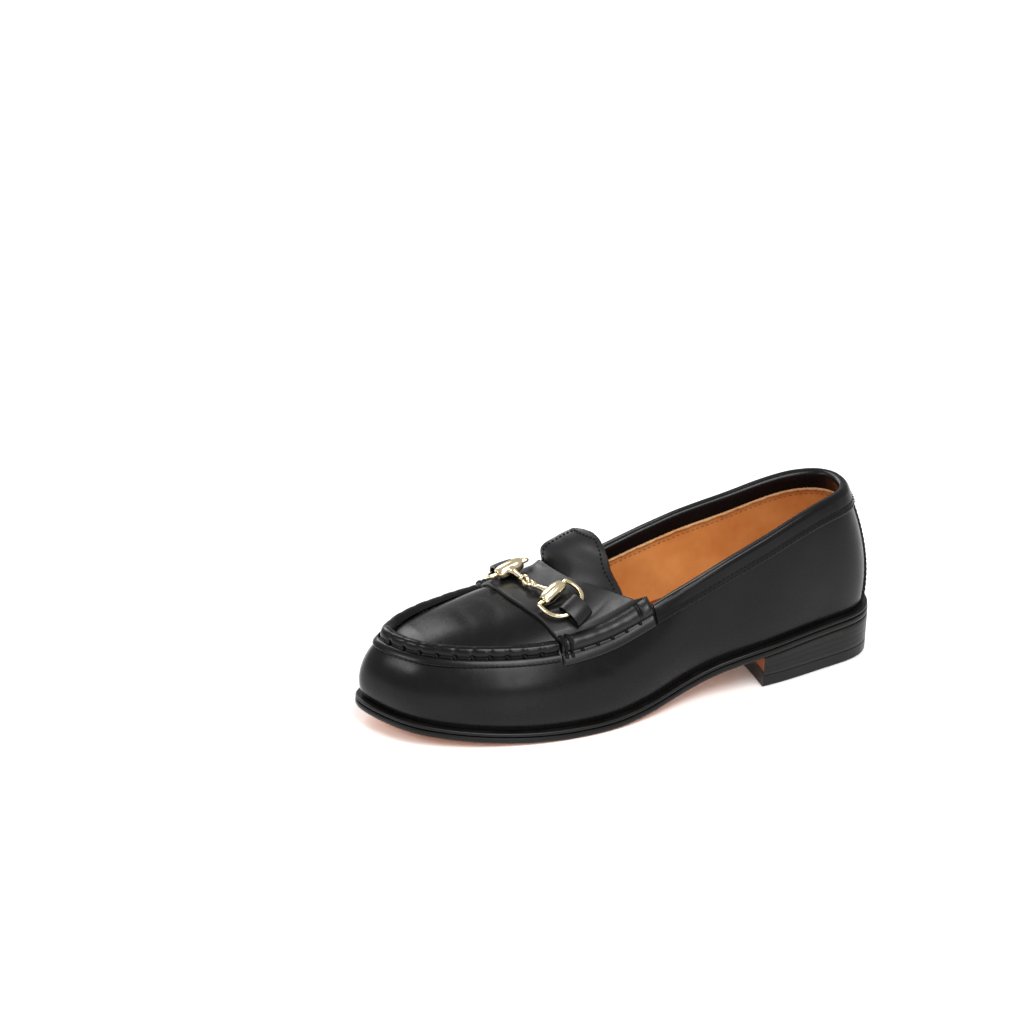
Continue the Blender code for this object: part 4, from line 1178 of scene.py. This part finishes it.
def makeBit():
    b = bitSettings
    middle, across, up = strapFrame(bitLink, b["eyeRadius"] + b["eyeWire"] + 2 * last["gap"])
    link = across * (b["eyeRadius"] / 2)
    flat = (up * 0.94 + up.cross(across) * 0.34).normalized()
    upright = flat.cross(across).normalized()
    for name, side, eyeUp in (("lateral", 1, flat), ("medial", -1, upright)):
        centre, reach, axis, barrelUp = ringFrame(name)
        points = []
        for k in range(96):
            angle = 2 * math.pi * k / 96
            out = max(0.0, (math.cos(angle) + 0.35) / 1.35) ** 0.8
            sideways = math.copysign(abs(math.sin(angle)) ** 0.85, math.sin(angle))
            points.append(centre + reach * out + axis * sideways * (b["ringLength"] / 2))
        mesh = bmesh.new()
        tubeAlong(mesh, points, b["ringWire"], 20, closed=True, up=axis.cross(reach).normalized())
        finishPiece("ring_" + name, mesh, [brass], "bit_ring_" + name, angle=60)
        mesh = bmesh.new()
        half, radius = b["barrelLength"] / 2, b["barrelRadius"]
        bore = b["ringWire"] + last["gap"]
        halfOutline = [(0.25, 0.998), (0.55, 0.96), (0.80, 0.87), (0.97, 0.74), (0.995, 0.68), (1.0, 0.58)]
        outline = [(-at, width) for at, width in reversed(halfOutline)] + [(0.0, 1.0)] + halfOutline
        profile = [(half * at, radius * width * 0.985) for at, width in rounded(outline, 2)]
        profile += [(half, bore), (half * 0.9, bore), (-half * 0.9, bore), (-half, bore), profile[0]]
        verts = addTurned(mesh, centre, axis, barrelUp, profile)
        reachWay = (reach - axis * reach.dot(axis)).normalized()
        for vert in verts:
            away = vert.co - centre
            along = away.dot(axis)
            radial = away - axis * along
            if radial.length > radius * 0.55:
                angle = math.atan2(radial.dot(axis.cross(reachWay)), radial.dot(reachWay))
                slit = sum(bumpAt(angle, place, 0.06) for place in (1.2, 2.5, -1.2, -2.5))
                vert.co -= radial.normalized() * 0.00025 * slit * bumpAt(along / half, 0.0, 0.75)
        eyeCentre = middle + link * side
        run = eyeCentre - centre
        start, end = radius * 0.70, run.length - b["eyeRadius"]
        root, tip = b["armRoot"], b["armTip"]
        arm = [(start, root * 1.3), (start + 0.0014, root * 0.98), (start + 0.0030, root * 0.74),
               (end - 0.0040, tip * 0.95), (end - 0.0026, tip * 0.98), (end - 0.0016, tip * 1.35),
               (end - 0.0008, tip * 1.35), (end + 0.0001, tip * 0.95), (end + 0.0002, tip * 0.3)]
        addTurned(mesh, centre, run, barrelUp, rounded(arm, 2), 32)
        spreadWay = run.normalized()
        other = eyeUp.cross(spreadWay).normalized()
        ring = circle(eyeCentre, spreadWay, other, b["eyeRadius"], 48)
        tubeAlong(mesh, ring, b["eyeWire"], 16, closed=True, up=eyeUp)
        finishPiece("bar_" + name, mesh, [brass], "bit_bar_" + name, angle=50)
        makeKeeper(name, reach.normalized(), axis)


def keeperSection(name):
    b = bitSettings
    low, thick = b["keeperThick"] + last["lay"], b["keeperThick"]
    clear = 2 * b["ringWire"] + 5 * last["gap"]
    fold, end = keeperReach[name]
    inner = ((end, low), (-0.8 * fold, low), (-fold, low + 0.5 * clear), (-0.8 * fold, low + clear),
             (0.3 * end, low + clear), (0.75 * end, low + 0.5 * clear), (end, low + last["gap"]))
    outer = ((end, low + last["gap"] + thick), (0.8 * end, low + 0.5 * clear + thick),
             (0.35 * end, low + clear + thick), (-0.8 * fold, low + clear + thick),
             (-fold - thick, low + 0.5 * clear), (-0.8 * fold, low - thick), (end, low - thick))
    return rounded(inner, 2) + rounded(outer, 2)


def makeKeeper(name, outWay, axis):
    # Leather loop round the ring with a row of stitches at its outer end.
    b = bitSettings
    station, share = bitKeepers[name]
    ahead = (top(station + 0.1, share) - top(station - 0.1, share)) / 0.2
    across = (top(station, share + 0.02) - top(station, share - 0.02)) / 0.04
    matrix = np.column_stack([ahead, across])
    lift = last["lay"] + strapSettings["thick"] + last["gap"]

    def at(k, out, rise):
        move = np.array(axis * (k * b["keeperWidth"] / 2) + outWay * out)
        step = np.linalg.lstsq(matrix, move, rcond=None)[0]
        return raisedTop(station + step[0], share + step[1], lift + rise)

    section = keeperSection(name)
    end = keeperReach[name][1]
    mesh = bmesh.new()
    rows = [[at(k, out, rise - 0.0003 * k * k) for out, rise in section] for k in spread(-1.0, 1.0, 24)]
    addGrid(mesh, rows, closed=True)
    finishPiece("keeper_" + name, mesh, [softCalf], "bit_keeper_" + name, closeEnds=True)
    mesh = bmesh.new()
    level = b["keeperThick"] * 2 + last["lay"] + last["gap"] + 0.00035
    for k in spread(-0.8, 0.8, 5):
        place, beyond = at(k, end - 0.0010, level), at(k + 0.1, end - 0.0010, level)
        addBead(mesh, place, beyond - place, at(k, 0, 1) - at(k, 0, 0), 0.0014, 0.0010, 0.0009)
    finishPiece("keeper_stitches_" + name, mesh, [thread])


# Studio

# Lens and sensor in mm, place in m, angles in degrees
cameraSettings = {"lens": 116.02, "sensor": 36.0, "place": (1.2857, -0.5829, 0.7566), "yaw": 157.679,
                  "pitch": -25.279}


def makeStudio():
    floor, _, shader, _ = newMaterial("pale studio floor")
    shader.inputs["Base Color"].default_value = colour("#f4f4f4")
    shader.inputs["Roughness"].default_value = 0.35
    mesh = bmesh.new()
    bmesh.ops.create_grid(mesh, x_segments=2, y_segments=2, size=4.0)
    data = bpy.data.meshes.new("floor")
    mesh.to_mesh(data)
    mesh.free()
    data.materials.append(floor)
    ground = bpy.data.objects.new("floor", data)
    ground.location = (0.0, 0.0, -0.0002)
    bpy.context.scene.collection.objects.link(ground)
    scene = bpy.context.scene
    scene.world = bpy.data.worlds.new("studio")
    scene.world.use_nodes = True
    backdrop = scene.world.node_tree.nodes["Background"]
    backdrop.inputs["Color"].default_value = (1.0, 1.0, 1.0, 1.0)
    backdrop.inputs["Strength"].default_value = 0.60
    # Name, place, aim, width, height and watts of each lamp
    lamps = (("key_box", (0.95, 0.10, 1.75), (0.0, 0.0, 0.03), 1.0, 1.0, 26.0),
             ("back_strip", (-1.30, -0.25, 1.05), (0.0, 0.0, 0.05), 0.5, 1.3, 15.0),
             ("side_strip", (1.10, -0.10, 1.00), (0.0, 0.0, 0.05), 0.32, 1.8, 12.0),
             ("front_box", (0.10, -1.40, 1.00), (0.0, 0.0, 0.05), 0.8, 0.4, 9.0))
    for name, at, aim, wide, tall, power in lamps:
        light = bpy.data.lights.new(name, "AREA")
        light.shape = "RECTANGLE"
        light.size, light.size_y, light.energy = wide, tall, power
        lamp = bpy.data.objects.new(name, light)
        lamp.location = at
        lamp.rotation_euler = (Vector(aim) - Vector(at)).to_track_quat("-Z", "Y").to_euler()
        scene.collection.objects.link(lamp)
    scene.view_settings.view_transform = "Standard"
    camera = bpy.data.cameras.new("camera")
    camera.lens, camera.sensor_width = cameraSettings["lens"], cameraSettings["sensor"]
    eye = bpy.data.objects.new("camera", camera)
    yaw, pitch = math.radians(cameraSettings["yaw"]), math.radians(cameraSettings["pitch"])
    level = math.cos(pitch)
    forward = Vector((level * math.cos(yaw), level * math.sin(yaw), math.sin(pitch)))
    eye.location = cameraSettings["place"]
    eye.rotation_euler = forward.to_track_quat("-Z", "Y").to_euler()
    scene.collection.objects.link(eye)
    scene.camera = eye


makeUpper()
makeSeam()
makeSeamStitches()
makeStrap()
makeStrapStitches()
makeTongue()
makeTongueStitches()
makeBinding()
makeBindingStitches()
makeLiningEdge()
makeStay()
makeSole()
makeHeel()
makeBit()
makeStudio()
